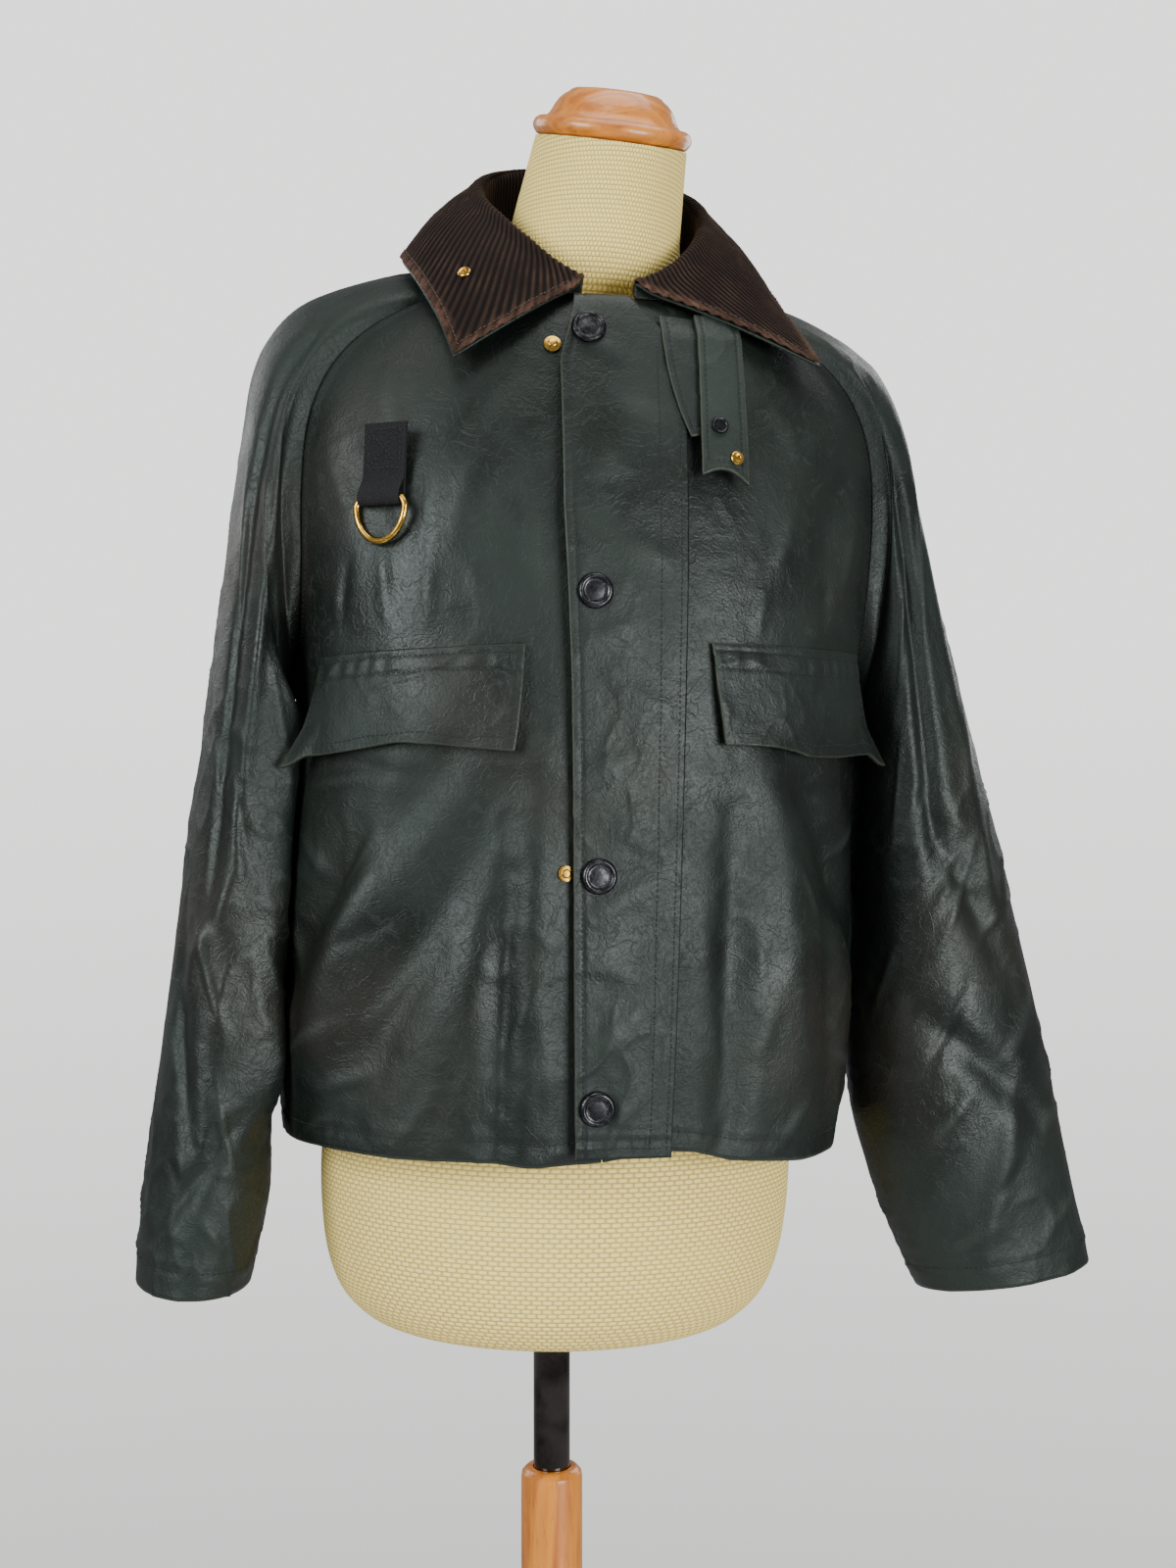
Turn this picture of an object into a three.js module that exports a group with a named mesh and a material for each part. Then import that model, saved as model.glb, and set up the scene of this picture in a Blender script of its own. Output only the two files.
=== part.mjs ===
import * as THREE from 'three';
import { mergeVertices } from 'three/addons/utils/BufferGeometryUtils.js';

// Waxed cotton jacket on a dress form, in millimetres.
// +Z is up, the front faces -Y, and the origin is the middle of the base's underside.
// The form and the jacket lean a little to +X on an upright pole, so both are drawn
// upright in one group, and that group is turned about a point on the pole.

// Stand
const baseRadius = 190;
const baseThickness = 22;
const columnRadius = 21;
const columnTop = 645;
const boreFloor = 240;
const poleRadius = 12.5;
const poleClearance = 0.5;
const poleFoot = 345;
const formFoot = 746;
const leanPivot = 730;
const poleToForm = 0.8;
const leanAngle = THREE.MathUtils.degToRad(2);

// Cloth
const waxThickness = 1.6;
const cordThickness = 1.8;
const seamGap = 0.3;
const bodyColumns = 12;
const backColumns = 24;
const lowerLevels = 11;
const raglanLevels = 10;
const neckSteps = 4;
const foldScale = 2.88;

// Neck cap
const neckTop = 1546;
const capTilt = THREE.MathUtils.degToRad(16);
const capRoll = THREE.MathUtils.degToRad(2);

const colours = {
  wax: 0x23271f,
  waxUnder: 0x2e3327,
  corduroy: 0x33231a,
  webbing: 0x141413,
  brass: 0xb08a3c,
  snap: 0x2a2b2b,
  cover: 0xe2d8b2,
  wood: 0xc68a45,
  chrome: 0xc4c6c8,
};

const finishes = {
  wax: { color: colours.wax, roughness: 0.5, metalness: 0 },
  waxUnder: { color: colours.waxUnder, roughness: 0.6, metalness: 0 },
  corduroy: { color: colours.corduroy, roughness: 0.95, metalness: 0 },
  webbing: { color: colours.webbing, roughness: 0.85, metalness: 0 },
  brass: { color: colours.brass, roughness: 0.3, metalness: 1 },
  snap: { color: colours.snap, roughness: 0.35, metalness: 0.9 },
  cover: { color: colours.cover, roughness: 0.9, metalness: 0 },
  wood: { color: colours.wood, roughness: 0.35, metalness: 0 },
  chrome: { color: colours.chrome, roughness: 0.12, metalness: 1 },
};

// Rounds of the jacket's body from hem to neck. side: height at the side seam;
// half: half the width; front and back: reach from the middle; rise: how far the
// front is lifted; tilt: how far the front drops and the back rises; square: 2 is an
// ellipse and more is squarer; seamFront and seamBack: where the sleeve starts, degrees
// from the middle of the front.
const bodyRounds = [
  { side: 880, half: 186, front: 147, back: 126, rise: 8, tilt: 0, square: 2.4, seamFront: 90, seamBack: 90 },
  { side: 930, half: 192, front: 150, back: 128, rise: 7, tilt: 0, square: 2.4, seamFront: 90, seamBack: 90 },
  { side: 990, half: 194, front: 151, back: 130, rise: 4, tilt: 0, square: 2.4, seamFront: 90, seamBack: 90 },
  { side: 1060, half: 191, front: 150, back: 129, rise: 2, tilt: 0, square: 2.4, seamFront: 90, seamBack: 90 },
  { side: 1120, half: 188, front: 148, back: 127, rise: 0, tilt: 0, square: 2.4, seamFront: 90, seamBack: 90 },
  { side: 1165, half: 187, front: 146, back: 126, rise: 0, tilt: 0, square: 2.4, seamFront: 90, seamBack: 90 },
  { side: 1200, half: 190, front: 144, back: 125, rise: 0, tilt: 0, square: 2.4, seamFront: 77, seamBack: 103 },
  { side: 1245, half: 195, front: 141, back: 124, rise: 0, tilt: 0, square: 2.4, seamFront: 70, seamBack: 110 },
  { side: 1295, half: 199, front: 134, back: 122, rise: 0, tilt: 0, square: 2.35, seamFront: 68, seamBack: 112 },
  { side: 1340, half: 198, front: 124, back: 118, rise: 0, tilt: 2, square: 2.3, seamFront: 67, seamBack: 113 },
  { side: 1375, half: 190, front: 115, back: 112, rise: 0, tilt: 5, square: 2.2, seamFront: 65, seamBack: 115 },
  { side: 1402, half: 173, front: 108, back: 104, rise: 0, tilt: 9, square: 2.1, seamFront: 63, seamBack: 117 },
  { side: 1424, half: 146, front: 102, back: 94, rise: 0, tilt: 15, square: 2.05, seamFront: 61, seamBack: 119 },
  { side: 1441, half: 114, front: 97, back: 80, rise: 0, tilt: 22, square: 2, seamFront: 60, seamBack: 118 },
  { side: 1456, half: 76, front: 90, back: 62, rise: 0, tilt: 31, square: 2, seamFront: 62, seamBack: 112 },
];
const underarmRound = 5;
const neckRound = bodyRounds.length - 1;

// Largest folds of the body. Each runs from one place to another, in degrees from the
// middle of the front (wearer's right is negative) and height. A trough has a minus depth.
const bodyFolds = [
  { from: [-30, 1132], to: [-72, 985], width: 16, depth: -9 },
  { from: [-22, 1110], to: [-50, 905], width: 20, depth: -10 },
  { from: [-40, 1120], to: [-62, 930], width: 14, depth: 8 },
  { from: [-14, 1130], to: [-14, 890], width: 12, depth: 4 },
  { from: [-19, 1060], to: [-20, 885], width: 9, depth: -7 },
  { from: [36, 1138], to: [66, 1010], width: 15, depth: -8 },
  { from: [32, 1130], to: [42, 905], width: 15, depth: 6 },
  { from: [24, 1100], to: [24, 880], width: 12, depth: -8 },
  { from: [50, 1060], to: [56, 900], width: 16, depth: -7 },
  { from: [-80, 1110], to: [-84, 950], width: 18, depth: -1.5 },
  { from: [80, 1120], to: [84, 960], width: 18, depth: -2 },
  { from: [-52, 1330], to: [-40, 1245], width: 14, depth: -4 },
  { from: [50, 1330], to: [40, 1245], width: 14, depth: -4 },
  { from: [-112, 1240], to: [-150, 1060], width: 18, depth: -9 },
  { from: [112, 1240], to: [148, 1040], width: 18, depth: -8 },
  { from: [-165, 1130], to: [-160, 880], width: 22, depth: -8 },
  { from: [162, 1100], to: [170, 880], width: 20, depth: 7 },
  { from: [-128, 1090], to: [-122, 890], width: 20, depth: 8 },
  { from: [130, 1060], to: [124, 890], width: 20, depth: -7 },
];

// Sleeve sections from the raglan seam to the cuff, in the frame of the side that they
// hang on. outX and outZ: the top or outside; inX and inZ: the underarm side; depth: half
// the front-to-back size; mid: where its middle lies from front (minus) to back.
const sleeveRight = [
  { outX: 76, outZ: 1456, inX: 187.3, inZ: 1165, depth: 52, mid: 0 },
  { outX: 108, outZ: 1453, inX: 189.2, inZ: 1161, depth: 54, mid: 0 },
  { outX: 142, outZ: 1447, inX: 190.6, inZ: 1157, depth: 56, mid: 0 },
  { outX: 172, outZ: 1437, inX: 191.6, inZ: 1152, depth: 58, mid: 1 },
  { outX: 195, outZ: 1424, inX: 192.2, inZ: 1146, depth: 60, mid: 1 },
  { outX: 212, outZ: 1404, inX: 192.8, inZ: 1139, depth: 62, mid: 2 },
  { outX: 222, outZ: 1376, inX: 193.3, inZ: 1130, depth: 64, mid: 3 },
  { outX: 228, outZ: 1340, inX: 193.8, inZ: 1119, depth: 66, mid: 4 },
  { outX: 233, outZ: 1295, inX: 194.2, inZ: 1104, depth: 68, mid: 5 },
  { outX: 238, outZ: 1240, inX: 194.8, inZ: 1083, depth: 70, mid: 6 },
  { outX: 244, outZ: 1180, inX: 195.8, inZ: 1053, depth: 70, mid: 6 },
  { outX: 250, outZ: 1115, inX: 197, inZ: 1013, depth: 69, mid: 4 },
  { outX: 257, outZ: 1050, inX: 197.6, inZ: 968, depth: 67, mid: 1 },
  { outX: 263, outZ: 985, inX: 196.8, inZ: 923, depth: 65, mid: -3 },
  { outX: 269, outZ: 922, inX: 195.4, inZ: 881, depth: 63, mid: -7 },
  { outX: 274, outZ: 866, inX: 195, inZ: 843, depth: 61, mid: -11 },
  { outX: 278, outZ: 823, inX: 200, inZ: 813, depth: 60, mid: -14 },
  { outX: 279, outZ: 785, inX: 206, inZ: 785, depth: 59, mid: -16 },
];
const sleeveLeft = [
  { outX: 76, outZ: 1456, inX: 187.3, inZ: 1165, depth: 52, mid: 0 },
  { outX: 108, outZ: 1453, inX: 190, inZ: 1161, depth: 54, mid: 0 },
  { outX: 140, outZ: 1447, inX: 192.5, inZ: 1157, depth: 56, mid: 0 },
  { outX: 168, outZ: 1436, inX: 194.5, inZ: 1152, depth: 58, mid: 1 },
  { outX: 190, outZ: 1423, inX: 194, inZ: 1146, depth: 60, mid: 1 },
  { outX: 208, outZ: 1407, inX: 195, inZ: 1139, depth: 62, mid: 2 },
  { outX: 222, outZ: 1378, inX: 196, inZ: 1130, depth: 64, mid: 2 },
  { outX: 230, outZ: 1342, inX: 196.5, inZ: 1119, depth: 65, mid: 2 },
  { outX: 241, outZ: 1300, inX: 197, inZ: 1104, depth: 66, mid: 1 },
  { outX: 255, outZ: 1248, inX: 197.5, inZ: 1083, depth: 66, mid: 0 },
  { outX: 273, outZ: 1188, inX: 198, inZ: 1053, depth: 65, mid: -2 },
  { outX: 293, outZ: 1123, inX: 201, inZ: 1013, depth: 62, mid: -4 },
  { outX: 311, outZ: 1060, inX: 201, inZ: 968, depth: 58, mid: -7 },
  { outX: 328, outZ: 1000, inX: 203, inZ: 926, depth: 54, mid: -10 },
  { outX: 344, outZ: 940, inX: 208, inZ: 888, depth: 50, mid: -13 },
  { outX: 358, outZ: 882, inX: 220, inZ: 850, depth: 46, mid: -16 },
  { outX: 370, outZ: 834, inX: 236, inZ: 810, depth: 43, mid: -18 },
  { outX: 381, outZ: 790, inX: 256, inZ: 771, depth: 41, mid: -20 },
];

// Largest folds of the sleeves: across the section in degrees (0 is the outside, 90 the
// front, 180 the inside) and along it as a section number.
const sleeveRightFolds = [
  { from: [52, 3], to: [66, 12], width: 10, depth: -7 },
  { from: [88, 4], to: [84, 11], width: 9, depth: 5 },
  { from: [20, 12], to: [70, 14.5], width: 9, depth: -5 },
  { from: [95, 11], to: [30, 13.5], width: 8, depth: 4 },
  { from: [110, 14], to: [40, 16], width: 8, depth: -4 },
  { from: [-50, 4], to: [-70, 12], width: 11, depth: -7 },
  { from: [-30, 11], to: [-100, 14], width: 10, depth: -5 },
];
const sleeveLeftFolds = [
  { from: [62, 3], to: [96, 11], width: 10, depth: -8 },
  { from: [40, 4], to: [56, 12], width: 10, depth: 4 },
  { from: [100, 10], to: [50, 13], width: 10, depth: -6 },
  { from: [120, 12.5], to: [40, 15], width: 9, depth: -5 },
  { from: [60, 14], to: [110, 16.5], width: 8, depth: 4 },
  { from: [-50, 4], to: [-72, 12], width: 11, depth: -7 },
  { from: [-30, 12], to: [-110, 14], width: 10, depth: -5 },
];
const sleeveFoldScale = 1.15;
const sleeveFoldStep = 38;

// How far the sleeve stands off the body where it folds down over the underarm.
const underarmTuck = 0.9;

// Collar, by places round the neck. angle: degrees from the middle of the front; stand:
// height of the stand; edgeX, edgeY, edgeZ: the leaf's outer edge, one column set for each
// side of the wearer.
const collarRight = [
  { angle: 15, stand: 5, edgeX: 103, edgeY: -116, edgeZ: 1376 },
  { angle: 30, stand: 14, edgeX: 111, edgeY: -93, edgeZ: 1404 },
  { angle: 50, stand: 29, edgeX: 121, edgeY: -58, edgeZ: 1433 },
  { angle: 75, stand: 43, edgeX: 127, edgeY: -18, edgeZ: 1455 },
  { angle: 105, stand: 52, edgeX: 121, edgeY: 26, edgeZ: 1468 },
  { angle: 135, stand: 55, edgeX: 92, edgeY: 68, edgeZ: 1478 },
  { angle: 160, stand: 56, edgeX: 46, edgeY: 92, edgeZ: 1485 },
  { angle: 180, stand: 56, edgeX: 0, edgeY: 99, edgeZ: 1487 },
];
const collarLeft = [
  { angle: 11, stand: 5, edgeX: 136, edgeY: -97, edgeZ: 1391 },
  { angle: 28, stand: 13, edgeX: 131, edgeY: -76, edgeZ: 1409 },
  { angle: 50, stand: 29, edgeX: 126, edgeY: -48, edgeZ: 1431 },
  { angle: 75, stand: 43, edgeX: 124, edgeY: -12, edgeZ: 1453 },
  { angle: 105, stand: 52, edgeX: 118, edgeY: 30, edgeZ: 1467 },
  { angle: 135, stand: 55, edgeX: 90, edgeY: 70, edgeZ: 1478 },
  { angle: 160, stand: 56, edgeX: 45, edgeY: 92, edgeZ: 1485 },
  { angle: 180, stand: 56, edgeX: 0, edgeY: 99, edgeZ: 1487 },
];
const collarSteps = 32;
const collarFoldRadius = 4;
const collarRoll = 7;
const leafShares = [0.08, 0.28, 0.52, 0.76, 1];
const socketPlace = 1.55;
const socketLeaf = 7;
const socketClearance = 0.5;

// Storm flap: sewn edge at the wearer's left, free edge at the right.
const flapSeamX = 42;
const flapFreeEdge = [
  { z: 888, x: -18 },
  { z: 1000, x: -23 },
  { z: 1177, x: -29 },
  { z: 1285, x: -36 },
  { z: 1377, x: -37 },
  { z: 1424, x: -25 },
];
const flapTopEdge = [
  { across: 0, z: 1420 },
  { across: 0.5, z: 1422 },
  { across: 0.8, z: 1402 },
  { across: 1, z: 1384 },
];
const flapFoot = 890;
const snapRadius = 11;
const snapHeight = 3.4;
const snapStandOff = 0.7;
const flapSnaps = [
  { name: 'snap_neck', x: -19, z: 1398 },
  { name: 'snap_chest', x: -16.5, z: 1233 },
  { name: 'snap_waist', x: -9.5, z: 1061 },
  { name: 'snap_hem', x: -6, z: 921 },
];

// Pocket flaps, in degrees from the middle of the front and in height.
const pocketFlaps = [
  { name: 'pocket_flap_right', side: -1, inner: 17, outer: 61, topIn: 1200, topOut: 1190,
    footIn: 1137, footOut: 1127, innerSlant: 1.5, outerFlare: 6, lift: 10 },
  { name: 'pocket_flap_left', side: 1, inner: 17.5, outer: 59, topIn: 1206, topOut: 1207,
    footIn: 1141, footOut: 1138, innerSlant: 3, outerFlare: 8, lift: 12 },
];

// Throat tab under the left leaf, and the D-ring on its webbing.
const webbingWidth = 31;
const webbingTop = 1334;
const webbingX = -140;
const ringBarZ = 1287;
const tabUnderLift = 5.6;
const ringWire = 2.2;
const ringHalf = 18.6;
const ringShoulder = 4;
const ringDrop = 26;
const ringSides = 8;
const webbingLift = 2.4;
const loopClearance = 0.5;
const webbingLayer = 1.5;

// Rounds of the dress form. mid: how far the round's middle lies to the front (minus);
// sway and roll: how far it lies, and dips, to the wearer's left.
const formRounds = [
  { z: 746, half: 92, front: 66, back: 66, tilt: 0, mid: 0, sway: 0, roll: 0 },
  { z: 749, half: 112, front: 80, back: 80, tilt: 0, mid: 0, sway: 0, roll: 0 },
  { z: 758, half: 131, front: 94, back: 94, tilt: 0, mid: 0, sway: 0, roll: 0 },
  { z: 778, half: 148, front: 107, back: 106, tilt: 0, mid: 0, sway: 0, roll: 0 },
  { z: 813, half: 158, front: 114, back: 108, tilt: 0, mid: 0, sway: 0, roll: 0 },
  { z: 868, half: 161, front: 112, back: 109, tilt: 0, mid: 0, sway: 0, roll: 0 },
  { z: 935, half: 154, front: 104, back: 103, tilt: 0, mid: 0, sway: 0, roll: 0 },
  { z: 1000, half: 136, front: 97, back: 88, tilt: 0, mid: 0, sway: 0, roll: 0 },
  { z: 1050, half: 127, front: 97, back: 78, tilt: 0, mid: 0, sway: 0, roll: 0 },
  { z: 1110, half: 132, front: 106, back: 84, tilt: 0, mid: 0, sway: 0, roll: 0 },
  { z: 1170, half: 144, front: 119, back: 95, tilt: 0, mid: 0, sway: 0, roll: 0 },
  { z: 1220, half: 152, front: 124, back: 101, tilt: 0, mid: 0, sway: 0, roll: 0 },
  { z: 1270, half: 160, front: 116, back: 104, tilt: 0, mid: 0, sway: 0, roll: 0 },
  { z: 1320, half: 170, front: 100, back: 102, tilt: 2, mid: 0, sway: 0, roll: 0 },
  { z: 1360, half: 175, front: 86, back: 94, tilt: 3, mid: 0, sway: 0, roll: 0 },
  { z: 1398, half: 168, front: 70, back: 78, tilt: 4, mid: 0, sway: 0, roll: 0 },
  { z: 1421, half: 152, front: 58, back: 64, tilt: 4, mid: 0, sway: 0, roll: 0 },
  { z: 1434, half: 127, front: 48, back: 54, tilt: 4, mid: -1, sway: 0, roll: 0 },
  { z: 1441, half: 100, front: 44, back: 50, tilt: 5, mid: -3, sway: 0, roll: 0 },
  { z: 1448, half: 78, front: 46, back: 48, tilt: 8, mid: -6, sway: 0, roll: 0 },
  { z: 1457, half: 67, front: 51, back: 50, tilt: 11, mid: -9, sway: 0, roll: 0 },
  { z: 1476, half: 59, front: 56, back: 52, tilt: 13, mid: -12, sway: 0.5, roll: 0 },
  { z: 1508, half: 55, front: 54, back: 52, tilt: 14.5, mid: -14, sway: 4.5, roll: 1 },
  { z: neckTop, half: 51, front: 53, back: 53, tilt: 15.2, mid: -17, sway: 9.5, roll: 1.8 },
];
const formColumns = 28;

const radians = THREE.MathUtils.degToRad;
const mix = THREE.MathUtils.lerp;

// Values of a table between its rows, on a smooth curve through them.
function readTable(rows, place, names) {
  const last = rows.length - 1;
  const low = Math.min(Math.max(Math.floor(place), 0), last - 1);
  const t = place - low;
  const row = {};
  for (const name of names) {
    const p0 = rows[Math.max(low - 1, 0)][name];
    const p1 = rows[low][name];
    const p2 = rows[low + 1][name];
    const p3 = rows[Math.min(low + 2, last)][name];
    const a = 2 * p1;
    const b = p2 - p0;
    const c = 2 * p0 - 5 * p1 + 4 * p2 - p3;
    const d = 3 * p1 - p0 - 3 * p2 + p3;
    row[name] = 0.5 * (a + b * t + c * t * t + d * t * t * t);
  }
  return row;
}

// Value of one column at a key, on straight lines between the rows.
function readLine(rows, keyName, key, name) {
  let low = 0;
  while (low < rows.length - 2 && rows[low + 1][keyName] < key) low += 1;
  const start = rows[low];
  const end = rows[low + 1];
  const t = THREE.MathUtils.clamp((key - start[keyName]) / (end[keyName] - start[keyName]), 0, 1);
  return mix(start[name], end[name], t);
}

// Height of the folds at one place: soft ridges and troughs that fade at their ends.
function foldHeight(folds, across, along, acrossScale, alongScale) {
  let height = 0;
  for (const fold of folds) {
    const startAcross = fold.from[0] * acrossScale;
    const startAlong = fold.from[1] * alongScale;
    const runAcross = fold.to[0] * acrossScale - startAcross;
    const runAlong = fold.to[1] * alongScale - startAlong;
    const offAcross = across * acrossScale - startAcross;
    const offAlong = along * alongScale - startAlong;
    const length = runAcross * runAcross + runAlong * runAlong;
    const t = (offAcross * runAcross + offAlong * runAlong) / length;
    const near = THREE.MathUtils.clamp(t, 0, 1);
    const gapAcross = offAcross - near * runAcross;
    const gapAlong = offAlong - near * runAlong;
    const gap = Math.hypot(gapAcross, gapAlong) / fold.width;
    const fade = 0.35 + 0.65 * Math.sin(Math.PI * THREE.MathUtils.clamp(t, 0.02, 0.98));
    height += fold.depth * fade * Math.exp(-gap * gap);
  }
  return height;
}

// A point of the jacket's body: degrees from the middle of the front, and the round.
function bodyPoint(angle, round) {
  const row = readTable(bodyRounds, round, ['side', 'half', 'front', 'back', 'rise', 'tilt', 'square']);
  const turn = radians(angle);
  const sine = Math.sin(turn);
  const cosine = Math.cos(turn);
  const power = Math.abs(sine) ** row.square + Math.abs(cosine) ** row.square;
  const swell = power ** (-1 / row.square);
  const reach = cosine > 0 ? row.front : row.back;
  const lift = cosine > 0 ? row.rise * cosine * cosine : 0;
  const point = new THREE.Vector3(row.half * sine * swell, -reach * cosine * swell, 0);
  point.z = row.side - row.tilt * cosine + lift;
  const fold = foldHeight(bodyFolds, wrapAngle(angle), point.z, foldScale, 1);
  const plan = Math.hypot(point.x, point.y);
  const calm = THREE.MathUtils.smoothstep(neckRound - round, 0, 3);
  point.x += fold * calm * point.x / plan;
  point.y += fold * calm * point.y / plan;
  return point;
}

function wrapAngle(angle) {
  return angle > 180 ? angle - 360 : angle;
}

// The direction that points out of the cloth at a place on the body.
function bodyNormal(angle, round) {
  const step = 0.02;
  const low = Math.max(round - step, 0);
  const high = Math.min(round + step, neckRound);
  const around = bodyPoint(angle + 0.5, round).sub(bodyPoint(angle - 0.5, round));
  const up = bodyPoint(angle, high).sub(bodyPoint(angle, low));
  return around.cross(up).normalize();
}

// The round that passes through a height at an angle.
function roundAt(angle, z) {
  let low = 0;
  let high = neckRound;
  for (let i = 0; i < 30; i += 1) {
    const middle = (low + high) / 2;
    if (bodyPoint(angle, middle).z < z) low = middle;
    else high = middle;
  }
  return (low + high) / 2;
}

// A point over the body at an angle and a height, moved out by a lift.
function overBody(angle, z, lift) {
  const round = roundAt(angle, z);
  return bodyPoint(angle, round).addScaledVector(bodyNormal(angle, round), lift);
}

// The angle on the front where the cloth has a given x at a height.
function angleAt(x, z) {
  let low = -75;
  let high = 75;
  for (let i = 0; i < 26; i += 1) {
    const middle = (low + high) / 2;
    if (bodyPoint(middle, roundAt(middle, z)).x < x) low = middle;
    else high = middle;
  }
  return (low + high) / 2;
}

// A closed wall between two grids of points. A tube's columns join round.
function wall(outer, inner, isTube) {
  const rows = outer.length;
  const columns = outer[0].length;
  const positions = [];
  for (const grid of [outer, inner]) {
    for (const row of grid) {
      for (const point of row) positions.push(point.x, point.y, point.z);
    }
  }
  const skin = rows * columns;
  const faces = [];
  const quad = (a, b, c, d) => faces.push(a, b, c, a, c, d);
  const outside = (i, j) => i * columns + (j % columns);
  const inside = (i, j) => skin + i * columns + (j % columns);
  const spans = isTube ? columns : columns - 1;
  for (let i = 0; i < rows - 1; i += 1) {
    for (let j = 0; j < spans; j += 1) {
      quad(outside(i, j), outside(i, j + 1), outside(i + 1, j + 1), outside(i + 1, j));
      quad(inside(i, j), inside(i + 1, j), inside(i + 1, j + 1), inside(i, j + 1));
    }
  }
  for (let j = 0; j < spans; j += 1) {
    quad(outside(0, j + 1), outside(0, j), inside(0, j), inside(0, j + 1));
    quad(outside(rows - 1, j), outside(rows - 1, j + 1), inside(rows - 1, j + 1), inside(rows - 1, j));
  }
  if (!isTube) {
    const edge = columns - 1;
    for (let i = 0; i < rows - 1; i += 1) {
      quad(outside(i, 0), outside(i + 1, 0), inside(i + 1, 0), inside(i, 0));
      quad(outside(i + 1, edge), outside(i, edge), inside(i, edge), inside(i + 1, edge));
    }
  }
  return closedGeometry(positions, faces);
}

// A solid from a stack of closed rings, with a fan at each end.
function stack(rings) {
  const columns = rings[0].length;
  const positions = rings.flatMap((ring) => ring.flatMap((point) => point.toArray()));
  const faces = [];
  for (let i = 0; i < rings.length - 1; i += 1) {
    for (let j = 0; j < columns; j += 1) {
      const next = (j + 1) % columns;
      const low = i * columns;
      const high = low + columns;
      faces.push(low + j, low + next, high + next, low + j, high + next, high + j);
    }
  }
  const capRing = (ring, isTop) => {
    const middle = new THREE.Vector3();
    for (const point of rings[ring]) middle.add(point);
    middle.divideScalar(columns);
    const centre = positions.length / 3;
    positions.push(middle.x, middle.y, middle.z);
    for (let j = 0; j < columns; j += 1) {
      const here = ring * columns + j;
      const next = ring * columns + (j + 1) % columns;
      if (isTop) faces.push(centre, here, next);
      else faces.push(centre, next, here);
    }
  };
  capRing(0, false);
  capRing(rings.length - 1, true);
  return closedGeometry(positions, faces);
}

// A round wire bent into a closed ring.
function wireRing(points, radius, sides) {
  const curve = new THREE.CatmullRomCurve3(points, true, 'catmullrom', 0.1);
  const count = points.length * 2;
  const frames = curve.computeFrenetFrames(count, true);
  const positions = [];
  const faces = [];
  for (let i = 0; i < count; i += 1) {
    const middle = curve.getPointAt(i / count);
    for (let j = 0; j < sides; j += 1) {
      const turn = 2 * Math.PI * j / sides;
      const point = middle.clone();
      point.addScaledVector(frames.normals[i], radius * Math.cos(turn));
      point.addScaledVector(frames.binormals[i], radius * Math.sin(turn));
      positions.push(point.x, point.y, point.z);
      const nextRing = ((i + 1) % count) * sides;
      const nextSide = (j + 1) % sides;
      const here = i * sides;
      faces.push(here + j, here + nextSide, nextRing + nextSide, here + j, nextRing + nextSide, nextRing + j);
    }
  }
  return closedGeometry(positions, faces);
}

// Turns the faces round where the solid came out with them pointing in.
function closedGeometry(positions, faces) {
  let volume = 0;
  const corner = (index) => new THREE.Vector3().fromArray(positions, index * 3);
  for (let i = 0; i < faces.length; i += 3) {
    volume += corner(faces[i]).dot(corner(faces[i + 1]).cross(corner(faces[i + 2])));
  }
  if (volume < 0) {
    for (let i = 0; i < faces.length; i += 3) {
      const kept = faces[i];
      faces[i] = faces[i + 1];
      faces[i + 1] = kept;
    }
  }
  const geometry = new THREE.BufferGeometry();
  geometry.setAttribute('position', new THREE.Float32BufferAttribute(positions, 3));
  geometry.setIndex(faces);
  geometry.computeVertexNormals();
  return geometry;
}

// A turned solid on the Z axis, from radius and height pairs.
function turned(profile, segments) {
  const lathe = new THREE.LatheGeometry(profile.map(([r, z]) => new THREE.Vector2(r, z)), segments);
  lathe.rotateX(Math.PI / 2);
  lathe.deleteAttribute('normal');
  lathe.deleteAttribute('uv');
  const merged = mergeVertices(lathe, 1e-4);
  const faces = [];
  const index = merged.getIndex().array;
  for (let i = 0; i < index.length; i += 3) {
    const [a, b, c] = [index[i], index[i + 1], index[i + 2]];
    if (a !== b && b !== c && a !== c) faces.push(a, b, c);
  }
  return closedGeometry(Array.from(merged.getAttribute('position').array), faces);
}

function piece(name, geometry, finish) {
  const mesh = new THREE.Mesh(geometry, new THREE.MeshStandardMaterial(finishes[finish]));
  mesh.name = name;
  return mesh;
}

// Levels of the body's grid, as rounds: from the hem to the underarm, then to the neck.
function bodyLevels() {
  const levels = [];
  for (let i = 0; i < lowerLevels; i += 1) levels.push(underarmRound * i / lowerLevels);
  for (let i = 0; i < raglanLevels; i += 1) {
    levels.push(mix(underarmRound, neckRound, i / (raglanLevels - 1)));
  }
  return levels;
}

// The raglan seam on the front or the back, in degrees from the middle of the front.
function seamAngle(round, isBack) {
  const name = isBack ? 'seamBack' : 'seamFront';
  if (round <= underarmRound) return 90;
  return Math.min(Math.max(readTable(bodyRounds, round, [name])[name], 60), 120);
}

function insetAngle(round, gap) {
  const row = readTable(bodyRounds, round, ['half', 'front']);
  return THREE.MathUtils.radToDeg(gap / Math.min(row.half, row.front));
}

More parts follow.
